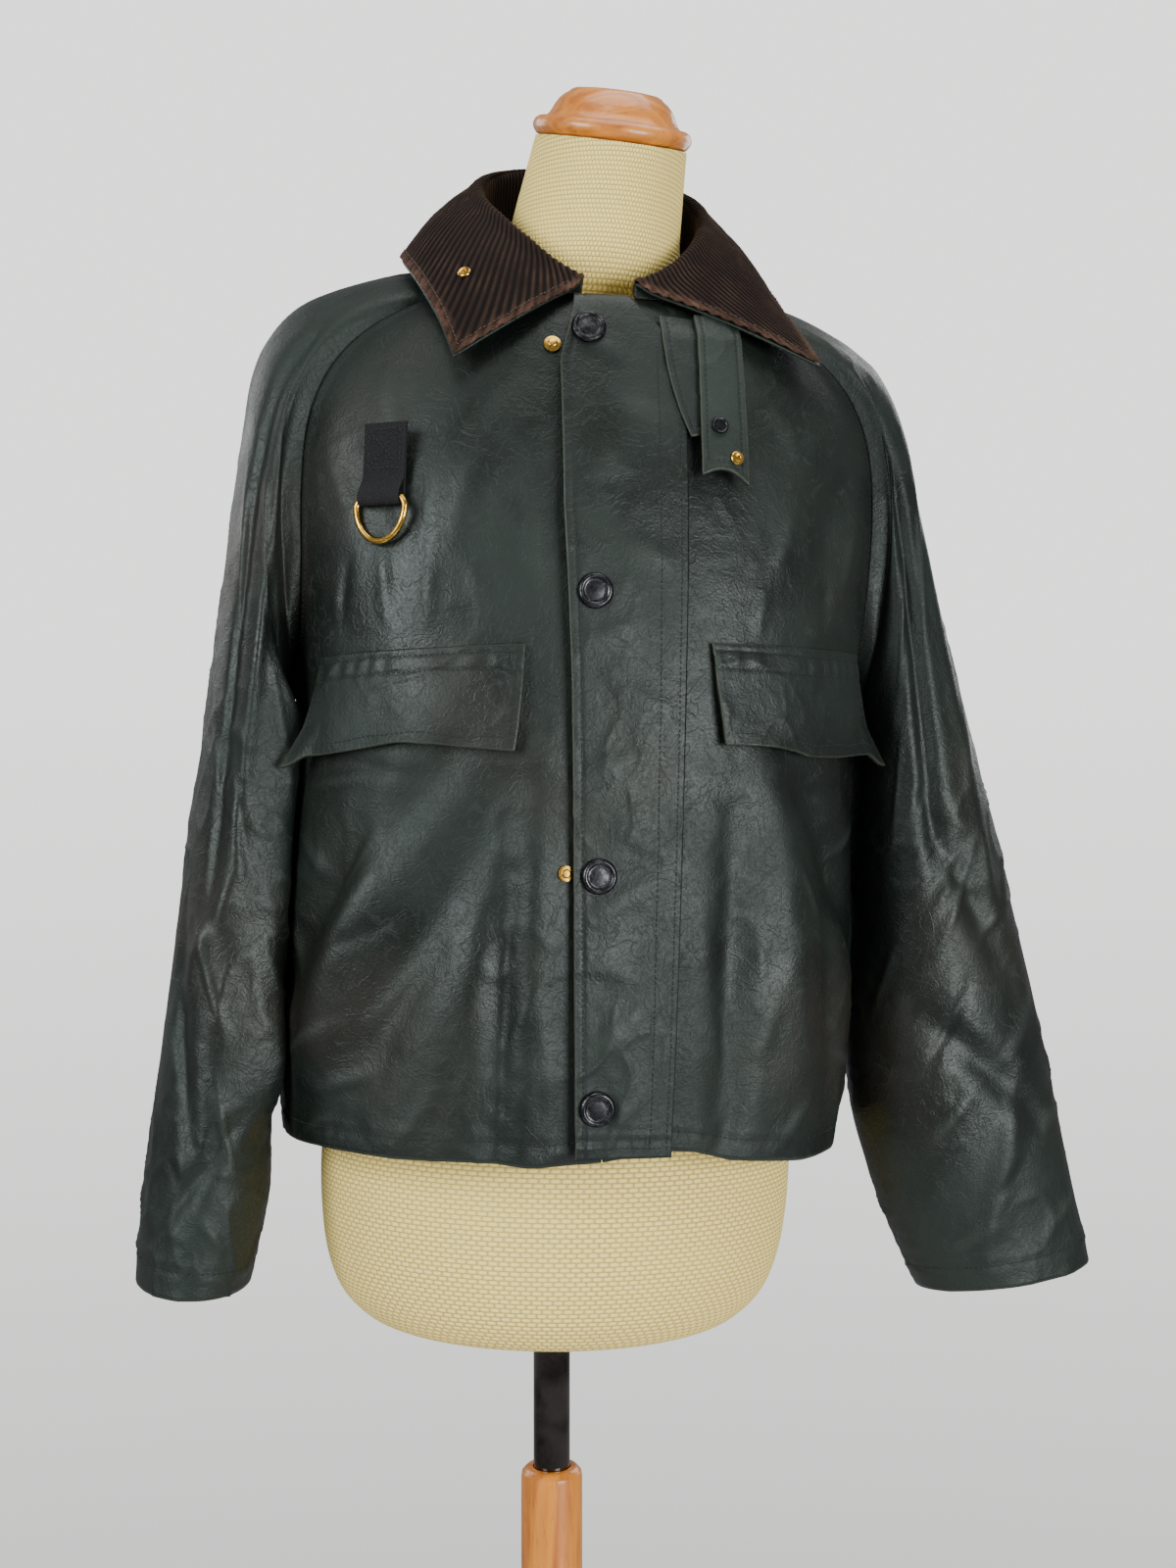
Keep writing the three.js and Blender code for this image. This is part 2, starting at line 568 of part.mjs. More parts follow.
// One body panel between two angles that may change from round to round.
function bodyPanel(startAngle, endAngle, columns) {
  const outer = [];
  const inner = [];
  for (const round of bodyLevels()) {
    const start = startAngle(round);
    const end = endAngle(round);
    const outerRow = [];
    const innerRow = [];
    for (let j = 0; j < columns; j += 1) {
      const angle = mix(start, end, j / (columns - 1));
      const point = bodyPoint(angle, round);
      outerRow.push(point);
      innerRow.push(point.clone().addScaledVector(bodyNormal(angle, round), -waxThickness));
    }
    outer.push(outerRow);
    inner.push(innerRow);
  }
  return wall(outer, inner, false);
}

function frontPanel(side) {
  const middle = (round) => side * insetAngle(round, 0.4);
  const outside = (round) => side * (seamAngle(round, false) - insetAngle(round, seamGap));
  return bodyPanel(middle, outside, bodyColumns);
}

function backPanel() {
  const start = (round) => seamAngle(round, true) + insetAngle(round, seamGap);
  const end = (round) => 360 - seamAngle(round, true) - insetAngle(round, seamGap);
  return bodyPanel(start, end, backColumns);
}

// The closed seam that a sleeve starts from: up the front, along the neck, down the back.
function raglanLoop(side) {
  const levels = bodyLevels().slice(lowerLevels);
  const loop = [];
  const add = (angle, round) => {
    loop.push({ point: bodyPoint(side * angle, round), out: bodyNormal(side * angle, round) });
  };
  for (const round of levels) add(seamAngle(round, false), round);
  for (let i = 1; i < neckSteps; i += 1) {
    add(mix(seamAngle(neckRound, false), seamAngle(neckRound, true), i / neckSteps), neckRound);
  }
  for (let i = levels.length - 1; i > 0; i -= 1) add(seamAngle(levels[i], true), levels[i]);
  return loop;
}

// Where each point of the loop sits round a sleeve section, in degrees: 180 is the
// underarm, 90 the front, 0 the outside and -90 the back.
function sectionAngles() {
  const half = raglanLevels - 1;
  const angles = [];
  const neckHalf = 22;
  for (let i = 0; i <= half; i += 1) angles.push(mix(180, neckHalf, i / half));
  for (let i = 1; i < neckSteps; i += 1) angles.push(mix(neckHalf, -neckHalf, i / neckSteps));
  for (let i = half; i > 0; i -= 1) angles.push(-mix(180, neckHalf, i / half));
  return angles;
}

function sectionPoint(row, angle, side) {
  const turn = radians(angle);
  const along = Math.cos(turn);
  const across = Math.sin(turn);
  const x = (row.outX + row.inX) / 2 + along * (row.outX - row.inX) / 2;
  const z = (row.outZ + row.inZ) / 2 + along * (row.outZ - row.inZ) / 2;
  return new THREE.Vector3(side * x, row.mid - row.depth * across, z);
}

function sleeve(side, rows, folds) {
  const loop = raglanLoop(side);
  const angles = sectionAngles();
  const columns = loop.length;
  const steps = rows.length + 1;
  const names = ['outX', 'outZ', 'inX', 'inZ', 'depth', 'mid'];
  const first = rows[0];
  const outer = [];
  for (let i = 0; i <= steps; i += 1) {
    const place = (rows.length - 1) * i / steps;
    const row = readTable(rows, place, names);
    const settled = THREE.MathUtils.smoothstep(place, 0, 6);
    const calm = THREE.MathUtils.smoothstep(place, 0.5, 2.5);
    const centre = sectionPoint(row, 0, side).add(sectionPoint(row, 180, side)).divideScalar(2);
    outer.push(loop.map((seam, j) => {
      const offset = seam.point.clone().sub(sectionPoint(first, angles[j], side));
      const point = sectionPoint(row, angles[j], side).addScaledVector(offset, 1 - settled);
      const fold = foldHeight(folds, angles[j], place, sleeveFoldScale, sleeveFoldStep) * calm;
      const away = point.clone().sub(centre).normalize();
      const tuck = THREE.MathUtils.smoothstep(Math.abs(angles[j]), 60, 130) * (1 - settled);
      return point.addScaledVector(away, fold).addScaledVector(seam.out, underarmTuck * tuck);
    }));
  }
  const inner = outer.map((row, i) => row.map((point, j) => {
    const around = row[(j + 1) % columns].clone().sub(row[(j + columns - 1) % columns]);
    const low = outer[Math.max(i - 1, 0)][j];
    const high = outer[Math.min(i + 1, steps)][j];
    const normal = around.cross(high.clone().sub(low)).normalize().multiplyScalar(side);
    return point.clone().addScaledVector(normal, waxThickness);
  }));
  return wall(outer, inner, true);
}

// The middle surface of the collar: round the neck by place, and across from the neck
// seam (0) over the fold to the leaf's edge.
function collarSection(side, place) {
  const rows = side < 0 ? collarRight : collarLeft;
  const row = readTable(rows, place, ['angle', 'stand', 'edgeX', 'edgeY', 'edgeZ']);
  const seam = bodyPoint(side * row.angle, neckRound);
  const inward = bodyNormal(side * row.angle, neckRound).multiplyScalar(-1);
  inward.z = 0;
  inward.normalize();
  const foot = seam.clone().addScaledVector(inward, waxThickness / 2);
  foot.z += seamGap + 0.5;
  const top = foot.clone().addScaledVector(inward, 2);
  top.z += row.stand;
  const edge = new THREE.Vector3(side * row.edgeX, row.edgeY, row.edgeZ);
  const start = top.clone().addScaledVector(inward, -2 * collarFoldRadius);
  const fall = edge.clone().sub(start);
  const roll = fall.clone().normalize().cross(inward).cross(fall).normalize();
  if (roll.z < 0) roll.negate();
  const points = [foot, foot.clone().lerp(top, 0.5), top];
  for (const turn of [60, 120]) {
    const bend = top.clone().addScaledVector(inward, -collarFoldRadius * (1 - Math.cos(radians(turn))));
    bend.z += collarFoldRadius * Math.sin(radians(turn));
    points.push(bend);
  }
  for (const share of leafShares) {
    const leaf = start.clone().lerp(edge, share);
    leaf.addScaledVector(roll, collarRoll * Math.sin(Math.PI * share));
    points.push(leaf);
  }
  return points;
}

function collarGrid() {
  const grid = [];
  const last = collarRight.length - 1;
  for (let i = 0; i <= collarSteps; i += 1) {
    const place = 2 * last * i / collarSteps;
    if (place <= last) grid.push(collarSection(-1, place));
    else grid.push(collarSection(1, 2 * last - place));
  }
  return grid;
}

function gridNormals(grid) {
  const rows = grid.length;
  const columns = grid[0].length;
  return grid.map((row, i) => row.map((point, j) => {
    const along = grid[Math.min(i + 1, rows - 1)][j].clone().sub(grid[Math.max(i - 1, 0)][j]);
    const across = row[Math.min(j + 1, columns - 1)].clone().sub(row[Math.max(j - 1, 0)]);
    return along.cross(across).normalize();
  }));
}

// One ply of the collar, between two distances from its middle surface.
function collarPly(low, high) {
  const grid = collarGrid();
  const normals = gridNormals(grid);
  const moved = (distance) => grid.map((row, i) => row.map((point, j) => (
    point.clone().addScaledVector(normals[i][j], distance)
  )));
  return wall(moved(high), moved(low), false);
}

// A ply that lies over the body. place gives the angle and height at a share across and
// up, and lift its distance from the cloth below.
function overlay(columns, rows, thickness, place, lift) {
  const outer = [];
  const inner = [];
  for (let i = 0; i <= rows; i += 1) {
    const outerRow = [];
    const innerRow = [];
    for (let j = 0; j <= columns; j += 1) {
      const across = j / columns;
      const up = i / rows;
      const { angle, z } = place(across, up);
      const height = lift(across, up);
      outerRow.push(overBody(angle, z, height + thickness));
      innerRow.push(overBody(angle, z, height));
    }
    outer.push(outerRow);
    inner.push(innerRow);
  }
  return wall(outer, inner, false);
}

function stormFlap() {
  const place = (across, up) => {
    const top = readLine(flapTopEdge, 'across', across, 'z');
    const z = mix(flapFoot, top, up);
    const free = readLine(flapFreeEdge, 'z', z, 'x');
    return { angle: angleAt(mix(free, flapSeamX, across), z), z };
  };
  return overlay(6, 22, 2 * waxThickness, place, stormLift);
}

function stormLift(across, up) {
  return seamGap + 1.4 + (1 - across) * (2.2 + 1.2 * Math.cos(9 * up));
}

function flapTopAt(x, z) {
  const free = readLine(flapFreeEdge, 'z', z, 'x');
  const across = (x - free) / (flapSeamX - free);
  const up = (z - flapFoot) / (readLine(flapTopEdge, 'across', across, 'z') - flapFoot);
  return stormLift(across, up) + 2 * waxThickness;
}

function pocketFlap(row) {
  const place = (across, up) => {
    const inner = row.inner + row.innerSlant * (1 - up);
    const outer = row.outer + row.outerFlare * (1 - up);
    const foot = mix(row.footIn, row.footOut, across ** 2);
    const top = mix(row.topIn, row.topOut, across);
    return { angle: row.side * mix(inner, outer, across), z: mix(foot, top, up) };
  };
  const lift = (across, up) => {
    const corner = row.lift * across ** 4 * (1 - up) ** 1.5;
    return seamGap + 4 * (1 - up) ** 0.7 + corner + 1.6 * (1 - up) * Math.sin(Math.PI * 2 * across);
  };
  return overlay(14, 5, 2 * waxThickness, place, lift);
}

// The throat tab hangs from under the left leaf. Its under ply shows beside it.
function throatTab() {
  const place = (across, up) => {
    const z = mix(1307 - 5 * across + 6 * Math.sin(Math.PI * across), 1398, up);
    const x = mix(49, 78, across);
    return { angle: angleAt(x, z), z };
  };
  return overlay(4, 8, 2 * waxThickness, place, tabLift);
}

function tabLift(across, up) {
  return tabUnderLift + waxThickness + 0.5 + 2 * (1 - up) * across + 1.2 * Math.sin(Math.PI * across);
}

function throatTabUnder() {
  const place = (across, up) => {
    const z = mix(1332 + 8 * across, 1398, up);
    const left = 27 + 17 * (1 - up) ** 2.2;
    return { angle: angleAt(mix(left, 76, across), z), z };
  };
  return overlay(5, 6, waxThickness, place, () => tabUnderLift);
}

// Places a small piece on the body: its own Z points out of the cloth, its own Y up.
function seat(mesh, x, z, lift) {
  const angle = angleAt(x, z);
  const out = bodyNormal(angle, roundAt(angle, z));
  const level = new THREE.Vector3(0, 0, 1).cross(out).normalize();
  const up = out.clone().cross(level);
  mesh.quaternion.setFromRotationMatrix(new THREE.Matrix4().makeBasis(level, up, out));
  mesh.position.copy(overBody(angle, z, lift));
  return mesh;
}

function snapCap(name, radius, height, finish) {
  const profile = [
    [0, 0],
    [radius * 0.9, 0],
    [radius, height * 0.3],
    [radius * 0.94, height * 0.75],
    [radius * 0.8, height],
    [radius * 0.66, height * 0.72],
    [0, height * 0.8],
  ];
  return piece(name, turned(profile, 20), finish);
}

// A small brass ring with a hollow middle, as on the socket half of a snap.
function snapSocket(name, radius, height) {
  const profile = [
    [radius * 0.42, 0],
    [radius, 0],
    [radius, height * 0.5],
    [radius * 0.8, height],
    [radius * 0.42, height * 0.8],
    [radius * 0.42, 0],
  ];
  return piece(name, turned(profile, 16), 'brass');
}

function snapStud(name, radius, height) {
  const profile = [
    [0, 0],
    [radius, 0],
    [radius, height * 0.3],
    [radius * 0.55, height * 0.42],
    [radius * 0.5, height * 0.9],
    [radius * 0.38, height],
    [0, height],
  ];
  return piece(name, turned(profile, 16), 'brass');
}

function flapSnapPieces() {
  return flapSnaps.map((row) => {
    const cap = snapCap(row.name, snapRadius, snapHeight, 'snap');
    return seat(cap, row.x, row.z, flapTopAt(row.x, row.z) + snapStandOff);
  });
}

// The brass socket on the right leaf of the collar, midway between two of the points that
// a section of the collar has across its leaf.
function collarSocket() {
  const section = collarSection(-1, socketPlace);
  const further = collarSection(-1, socketPlace + 0.2);
  const here = section[socketLeaf].clone().lerp(section[socketLeaf + 1], 0.5);
  const ahead = further[socketLeaf].clone().lerp(further[socketLeaf + 1], 0.5);
  const up = section[socketLeaf].clone().sub(section[socketLeaf + 1]).normalize();
  const out = here.clone().sub(ahead).cross(up).normalize();
  const level = up.clone().cross(out);
  const mesh = snapSocket('collar_socket', 4.5, 1.6);
  mesh.quaternion.setFromRotationMatrix(new THREE.Matrix4().makeBasis(level, up, out));
  mesh.position.copy(here).addScaledVector(out, seamGap / 2 + cordThickness + socketClearance);
  return mesh;
}

// The D-ring's webbing: two plies sewn flat, and a loop round the ring's bar.
function webbingLoop() {
  const hole = ringWire + loopClearance;
  const outside = hole + webbingLayer;
  const height = webbingTop - ringBarZ;
  const middle = outside;
  const strap = 2 * webbingLayer;
  const shape = new THREE.Shape();
  shape.moveTo(0, height);
  shape.lineTo(0, outside);
  shape.absarc(middle, 0, outside, Math.PI, Math.PI * 2, false);
  shape.lineTo(2 * outside, 1.5);
  shape.quadraticCurveTo(strap, 7, strap, 13);
  shape.lineTo(strap, height);
  shape.closePath();
  const eye = new THREE.Path();
  eye.absarc(middle, 0, hole, 0, Math.PI * 2, true);
  shape.holes.push(eye);
  const geometry = new THREE.ExtrudeGeometry(shape, {
    depth: webbingWidth, bevelEnabled: false, curveSegments: 8, steps: 1,
  });
  geometry.translate(0, 0, -webbingWidth / 2);
  // The profile was drawn with X out of the cloth, so it is turned to Z out and X level.
  geometry.applyMatrix4(new THREE.Matrix4().makeBasis(
    new THREE.Vector3(0, 0, 1), new THREE.Vector3(0, 1, 0), new THREE.Vector3(-1, 0, 0),
  ));
  geometry.deleteAttribute('normal');
  geometry.deleteAttribute('uv');
  const merged = mergeVertices(geometry, 1e-4);
  const positions = Array.from(merged.getAttribute('position').array);
  return closedGeometry(positions, Array.from(merged.getIndex().array));
}

function dRing() {
  const points = [];
  for (const share of [-1, -0.5, 0, 0.5, 1]) points.push(new THREE.Vector3(share * 16.4, 0, 0));
  for (let i = 0; i <= 8; i += 1) {
    const turn = Math.PI * i / 8;
    const drop = ringShoulder + (ringDrop - ringShoulder) * Math.sin(turn);
    points.push(new THREE.Vector3(ringHalf * Math.cos(turn), -drop, 0));
  }
  return wireRing(points, ringWire, ringSides);
}

function formTorso() {
  const names = ['z', 'half', 'front', 'back', 'tilt', 'mid', 'sway', 'roll'];
  const rings = formRounds.map((source, i) => {
    const row = readTable(formRounds, i, names);
    const ring = [];
    for (let j = 0; j < formColumns; j += 1) {
      const turn = 2 * Math.PI * j / formColumns;
      const reach = Math.cos(turn) > 0 ? row.front : row.back;
      const x = row.sway + row.half * Math.sin(turn);
      const z = row.z - row.tilt * Math.cos(turn) - row.roll * Math.sin(turn);
      ring.push(new THREE.Vector3(x, row.mid - reach * Math.cos(turn), z));
    }
    return ring;
  });
  return stack(rings);
}

function neckCap() {
  const profile = [
    [0, 0],
    [48, 0],
    [53, 4],
    [53.5, 8.5],
    [50, 12.5],
    [45, 13.5],
    [42, 18],
    [38, 25],
    [32, 30],
    [28, 32.5],
    [0, 33.5],
  ];
  const cap = piece('neck_cap', turned(profile, 32), 'wood');
  const top = formRounds[formRounds.length - 1];
  cap.rotation.set(capTilt, capRoll, 0);
  cap.position.set(top.sway, top.mid, neckTop + seamGap);
  return cap;
}

function standPieces() {
  const bore = poleRadius + poleClearance;
  const base = turned([
    [0, 0],
    [baseRadius - 3, 0],
    [baseRadius, 3],
    [baseRadius, 14],
    [baseRadius - 8, baseThickness - 2],
    [baseRadius - 20, baseThickness],
    [0, baseThickness],
  ], 40);
  const column = turned([
    [0, baseThickness],
    [34, baseThickness],
    [32, 32],
    [24, 46],
    [columnRadius, 66],
    [columnRadius, columnTop - 7],
    [columnRadius - 2, columnTop - 2],
    [columnRadius - 5, columnTop],
    [bore, columnTop],
    [bore, boreFloor],
    [0, boreFloor],
  ], 24);
  const poleTop = formFoot - poleToForm;
  const pole = turned([
    [0, poleFoot],
    [poleRadius, poleFoot],
    [poleRadius, poleTop],
    [0, poleTop],
  ], 24);
  return [piece('base', base, 'wood'), piece('column', column, 'wood'), piece('pole', pole, 'chrome')];
}

function clothPieces() {
  return [
    piece('front_right', frontPanel(-1), 'wax'),
    piece('front_left', frontPanel(1), 'wax'),
    piece('back', backPanel(), 'wax'),
    piece('sleeve_right', sleeve(-1, sleeveRight, sleeveRightFolds), 'wax'),
    piece('sleeve_left', sleeve(1, sleeveLeft, sleeveLeftFolds), 'wax'),
    piece('collar_top', collarPly(seamGap / 2, seamGap / 2 + cordThickness), 'corduroy'),
    piece('collar_under', collarPly(-seamGap / 2 - waxThickness, -seamGap / 2), 'waxUnder'),
    piece('storm_flap', stormFlap(), 'wax'),
    ...pocketFlaps.map((row) => piece(row.name, pocketFlap(row), 'wax')),
    piece('throat_tab', throatTab(), 'waxUnder'),
    piece('throat_tab_under', throatTabUnder(), 'wax'),
  ];
}

function hardware() {
  const webbing = piece('webbing_loop', webbingLoop(), 'webbing');
  const ring = piece('d_ring', dRing(), 'brass');
  const ringLift = webbingLift + ringWire + loopClearance + webbingLayer;
  return [
    ...flapSnapPieces(),
    seat(webbing, webbingX, ringBarZ, webbingLift),
    seat(ring, webbingX, ringBarZ, ringLift),
    seat(snapStud('neck_stud', 5.5, 3), -41, 1389, seamGap),
    seat(snapStud('waist_stud', 5, 1.6), -29, 1062, seamGap + 0.2),
    collarSocket(),
    seat(snapCap('tab_snap', 5.5, 2, 'snap'), 60, 1338, tabLift(0.4, 0.34) + 2 * waxThickness + 0.5),
    seat(snapSocket('tab_socket', 4.5, 1.6), 70, 1318, tabLift(0.72, 0.15) + 2 * waxThickness + 0.6),
  ];
}

const lean = new THREE.Group();
const pivot = new THREE.Vector3(0, 0, leanPivot);
lean.rotation.y = leanAngle;
lean.position.copy(pivot).sub(pivot.clone().applyEuler(lean.rotation));
lean.add(piece('form_torso', formTorso(), 'cover'), neckCap(), ...clothPieces(), ...hardware());

const jacketOnForm = new THREE.Group();
jacketOnForm.add(lean, ...standPieces());

export default jacketOnForm;
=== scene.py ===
import math
from functools import partial

import bpy
import numpy as np
from mathutils import Matrix, Vector, noise


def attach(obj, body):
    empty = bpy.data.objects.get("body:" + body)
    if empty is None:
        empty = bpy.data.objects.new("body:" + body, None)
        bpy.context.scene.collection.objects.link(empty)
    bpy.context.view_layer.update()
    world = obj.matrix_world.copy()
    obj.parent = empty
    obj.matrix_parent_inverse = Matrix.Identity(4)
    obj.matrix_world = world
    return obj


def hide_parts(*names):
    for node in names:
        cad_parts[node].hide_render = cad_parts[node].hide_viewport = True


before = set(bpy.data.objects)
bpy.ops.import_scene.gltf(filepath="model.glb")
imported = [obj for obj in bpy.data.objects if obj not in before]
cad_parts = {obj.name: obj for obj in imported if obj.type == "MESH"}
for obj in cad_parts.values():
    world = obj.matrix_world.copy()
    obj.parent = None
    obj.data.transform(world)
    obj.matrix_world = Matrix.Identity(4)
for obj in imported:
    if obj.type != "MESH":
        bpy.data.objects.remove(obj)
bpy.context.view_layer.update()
bpy.ops.object.select_all(action="DESELECT")

metres = 0.001                # shapes are worked out in mm and drawn in metres
leanPivot = 730              # height about which the form and jacket lean
leanAngle = math.radians(2)   # form and jacket lean a little on the upright pole
waxThickness = 1.6
cordThickness = 1.8
seamGap = 0.3
foldScale = 2.88              # mm of cloth in one degree round the body
underarmRound = 5
neckRound = 14


# Tables and curves

def table(names, *rows):
    return {name: np.array([row[i] for row in rows], float) for i, name in enumerate(names.split())}


def curveBetween(before, start, end, after, t):  # between the middle two of four points in a row
    bend = 2 * before - 5 * start + 4 * end - after
    twist = 3 * start - before - 3 * end + after
    return 0.5 * (2 * start + (end - before) * t + bend * t ** 2 + twist * t ** 3)


def tableValue(rows, place, name):  # a smooth curve through a column
    column = rows[name]
    last = len(column) - 1
    place = np.asarray(place, float)
    low = np.clip(np.floor(place).astype(int), 0, last - 1)
    before, start = column[np.maximum(low - 1, 0)], column[low]
    end, after = column[low + 1], column[np.minimum(low + 2, last)]
    return curveBetween(before, start, end, after, place - low)


def tableValues(rows, place, names):
    return [tableValue(rows, place, name) for name in names.split()]


def smooth(value, low, high):
    t = np.clip((value - low) / (high - low), 0, 1)
    return t * t * (3 - 2 * t)


def hump(value, centre, width):  # 1 at the centre and soft on both sides
    return np.exp(-((value - centre) / width) ** 2)


def mix(a, b, t):
    return a + (b - a) * t


def unit(vectors):
    return vectors / np.maximum(np.linalg.norm(vectors, axis=-1, keepdims=True), 1e-9)


def pathLength(path):  # distance along a path to each of its points
    return np.concatenate([[0], np.cumsum(np.linalg.norm(np.diff(path, axis=0), axis=1))])


def leaned(points):  # from the upright drawing to the part's own place, in metres
    turned = np.array(points, float)
    x, z = turned[..., 0].copy(), turned[..., 2] - leanPivot
    turned[..., 0] = x * math.cos(leanAngle) + z * math.sin(leanAngle)
    turned[..., 2] = leanPivot + z * math.cos(leanAngle) - x * math.sin(leanAngle)
    return turned * metres


def foldHeight(folds, across, along, acrossScale, alongScale):  # soft troughs and ridges
    height = np.zeros(np.broadcast(across, along).shape)
    for i in range(len(folds["depth"])):
        startAcross = folds["startAcross"][i] * acrossScale
        startAlong = folds["startAlong"][i] * alongScale
        runAcross = folds["endAcross"][i] * acrossScale - startAcross
        runAlong = folds["endAlong"][i] * alongScale - startAlong
        offAcross = across * acrossScale - startAcross
        offAlong = along * alongScale - startAlong
        t = (offAcross * runAcross + offAlong * runAlong) / (runAcross ** 2 + runAlong ** 2)
        near = np.clip(t, 0, 1)
        gap = np.hypot(offAcross - near * runAcross, offAlong - near * runAlong) / folds["width"][i]
        fade = 0.35 + 0.65 * np.sin(math.pi * np.clip(t, 0.02, 0.98))
        height += folds["depth"][i] * fade * np.exp(-gap * gap)
    return height


def noiseAt(points, size, shift):
    flat = (np.asarray(points, float) / size).reshape(-1, 3) + shift
    return np.array([noise.noise(Vector(spot)) for spot in flat]).reshape(points.shape[:-1])


def crumple(points, size, seed):  # small uneven ridges, 0 to 1
    return np.clip(1 - abs(noiseAt(points, size, (seed, 0, 0))) * 2.6, 0, 1) ** 3


def patches(points, size, seed):  # where the cloth is calm (0) or crumpled (1)
    return smooth(noiseAt(points, size, (0, seed, 0)), -0.25, 0.35)


def ripples(points, share, layers):  # each with its height, crumple, patches, and strength up and down
    return sum(
        height * crumple(points, size, seed) * patches(points, wide, wideSeed) * mix(weak, strong, share)
        for height, size, seed, wide, wideSeed, weak, strong in layers)


# Camera, light and floor

studioLook = {
    "cameraPlace": (-0.2235, -1.281, 1.141),
    "cameraAim": (0.0245, -0.0048, 1.114),
    "lens": 43.7,
    "floorRadius": 1.15,
    "backdrop": "#dcdde1",
    "seenStrength": 2.35,
    "litStrength": 0.38,
    "lights": (  # name, place, aim, size, power, colour
        ("window_left", (-1.9, -1.4, 1.75), (-0.05, 0, 1.1), (1.0, 1.5), 64, "#f7f9ff"),
        ("window_right", (1.1, -2.1, 1.05), (0.1, 0, 1.0), (1.1, 1.3), 62, "#fbfbff"),
        ("ceiling", (0.2, -0.4, 3.0), (0, 0, 1.2), (2.0, 1.4), 30, "#ffffff"),
        ("back_left", (-1.5, 1.7, 2.2), (0, 0, 1.1), (1.2, 1.4), 18, "#ffffff"),
        ("back_right", (1.6, 1.5, 1.9), (0, 0, 1.1), (1.0, 1.4), 14, "#ffffff"),
    ),
}


def linear(text, strength=1.0):  # sRGB hex to the linear colour that Blender uses
    parts = [int(text[i:i + 2], 16) / 255 for i in (1, 3, 5)]
    parts = [c / 12.92 if c <= 0.04045 else ((c + 0.055) / 1.055) ** 2.4 for c in parts]
    return tuple(c * strength for c in parts) + (1.0,)


def fillInputs(tree, node, inputs):  # n2 names an input by its number
    for name, value in inputs.items():
        key = int(name[1:]) if name[0] == "n" and name[1:].isdigit() else name.replace("_", " ")
        if isinstance(value, bpy.types.NodeSocket):
            tree.links.new(value, node.inputs[key])
        else:
            node.inputs[key].default_value = value


def addNode(tree, kind, settings=None, out=0, **inputs):
    made = tree.nodes.new("ShaderNode" + kind)
    for name, value in (settings or {}).items():
        setattr(made, name, value)
    fillInputs(tree, made, inputs)
    return made.outputs[out] if made.outputs else None


def startMaterial(name):
    material = bpy.data.materials.new(name)
    material.use_nodes = True
    add = partial(addNode, material.node_tree)
    return material, add, add("TexCoord", out="Object")


def finishMaterial(material, **inputs):
    tree = material.node_tree
    fillInputs(tree, tree.nodes["Principled BSDF"], inputs)
    return material


def setRamp(colour, *stops):  # the places and colours of the ramp that this output belongs to
    for element, (place, text) in zip(colour.node.color_ramp.elements, stops):
        element.position = place
        element.color = linear(text)


def addLight(name, place, aim, size, power, colour):
    data = bpy.data.lights.new(name, "AREA")
    data.shape = "RECTANGLE"
    data.size, data.size_y = size
    data.energy = power
    data.color = linear(colour)[:3]
    light = bpy.data.objects.new(name, data)
    light.location = place
    light.rotation_euler = (Vector(aim) - Vector(place)).to_track_quat("-Z", "Y").to_euler()
    bpy.context.collection.objects.link(light)


def makeStudio():
    data = bpy.data.cameras.new("camera")
    data.lens = studioLook["lens"]
    data.clip_start = 0.05
    camera = bpy.data.objects.new("camera", data)
    camera.location = studioLook["cameraPlace"]
    direction = Vector(studioLook["cameraAim"]) - Vector(studioLook["cameraPlace"])
    camera.rotation_euler = direction.to_track_quat("-Z", "Y").to_euler()
    bpy.context.collection.objects.link(camera)
    bpy.context.scene.camera = camera

    world = bpy.data.worlds.new("studio")
    world.use_nodes = True
    bpy.context.scene.world = world
    tree = world.node_tree
    tree.nodes.clear()
    add = partial(addNode, tree)
    height = add("SeparateXYZ", out="Z", Vector=add("TexCoord", out="Generated"))
    # painted shade: the backdrop that the camera sees is darker towards the bottom
    shade = add("ValToRGB", Fac=add("MapRange", Value=height, From_Min=-0.45, From_Max=0.05))
    setRamp(shade, (0.0, "#a4a6a3"), (1.0, "#e3e3e2"))
    seen = add("Background", Color=shade, Strength=studioLook["seenStrength"])
    lit = add("Background", Color=linear(studioLook["backdrop"]), Strength=studioLook["litStrength"])
    both = add("MixShader", Fac=add("LightPath", out="Is Camera Ray"), n1=lit, n2=seen)
    add("OutputWorld", Surface=both)

    for light in studioLook["lights"]:
        addLight(*light)

    bpy.ops.mesh.primitive_circle_add(
        vertices=96, radius=studioLook["floorRadius"], fill_type="NGON", location=(0, 0, -0.0005))
    floor = bpy.context.active_object
    floor.name = "floor"
    material, add, here = startMaterial("pale_floor")
    tint = add("ValToRGB", Fac=add("TexNoise", Vector=here, Scale=3.0, Detail=2.0))
    setRamp(tint, (0.0, "#d9dade"), (1.0, "#dddee2"))
    floor.data.materials.append(finishMaterial(material, Base_Color=tint, Roughness=0.85))


makeStudio()
print("camera, light and floor made")


# Body of the jacket: rounds from the hem to the neck, and its largest folds

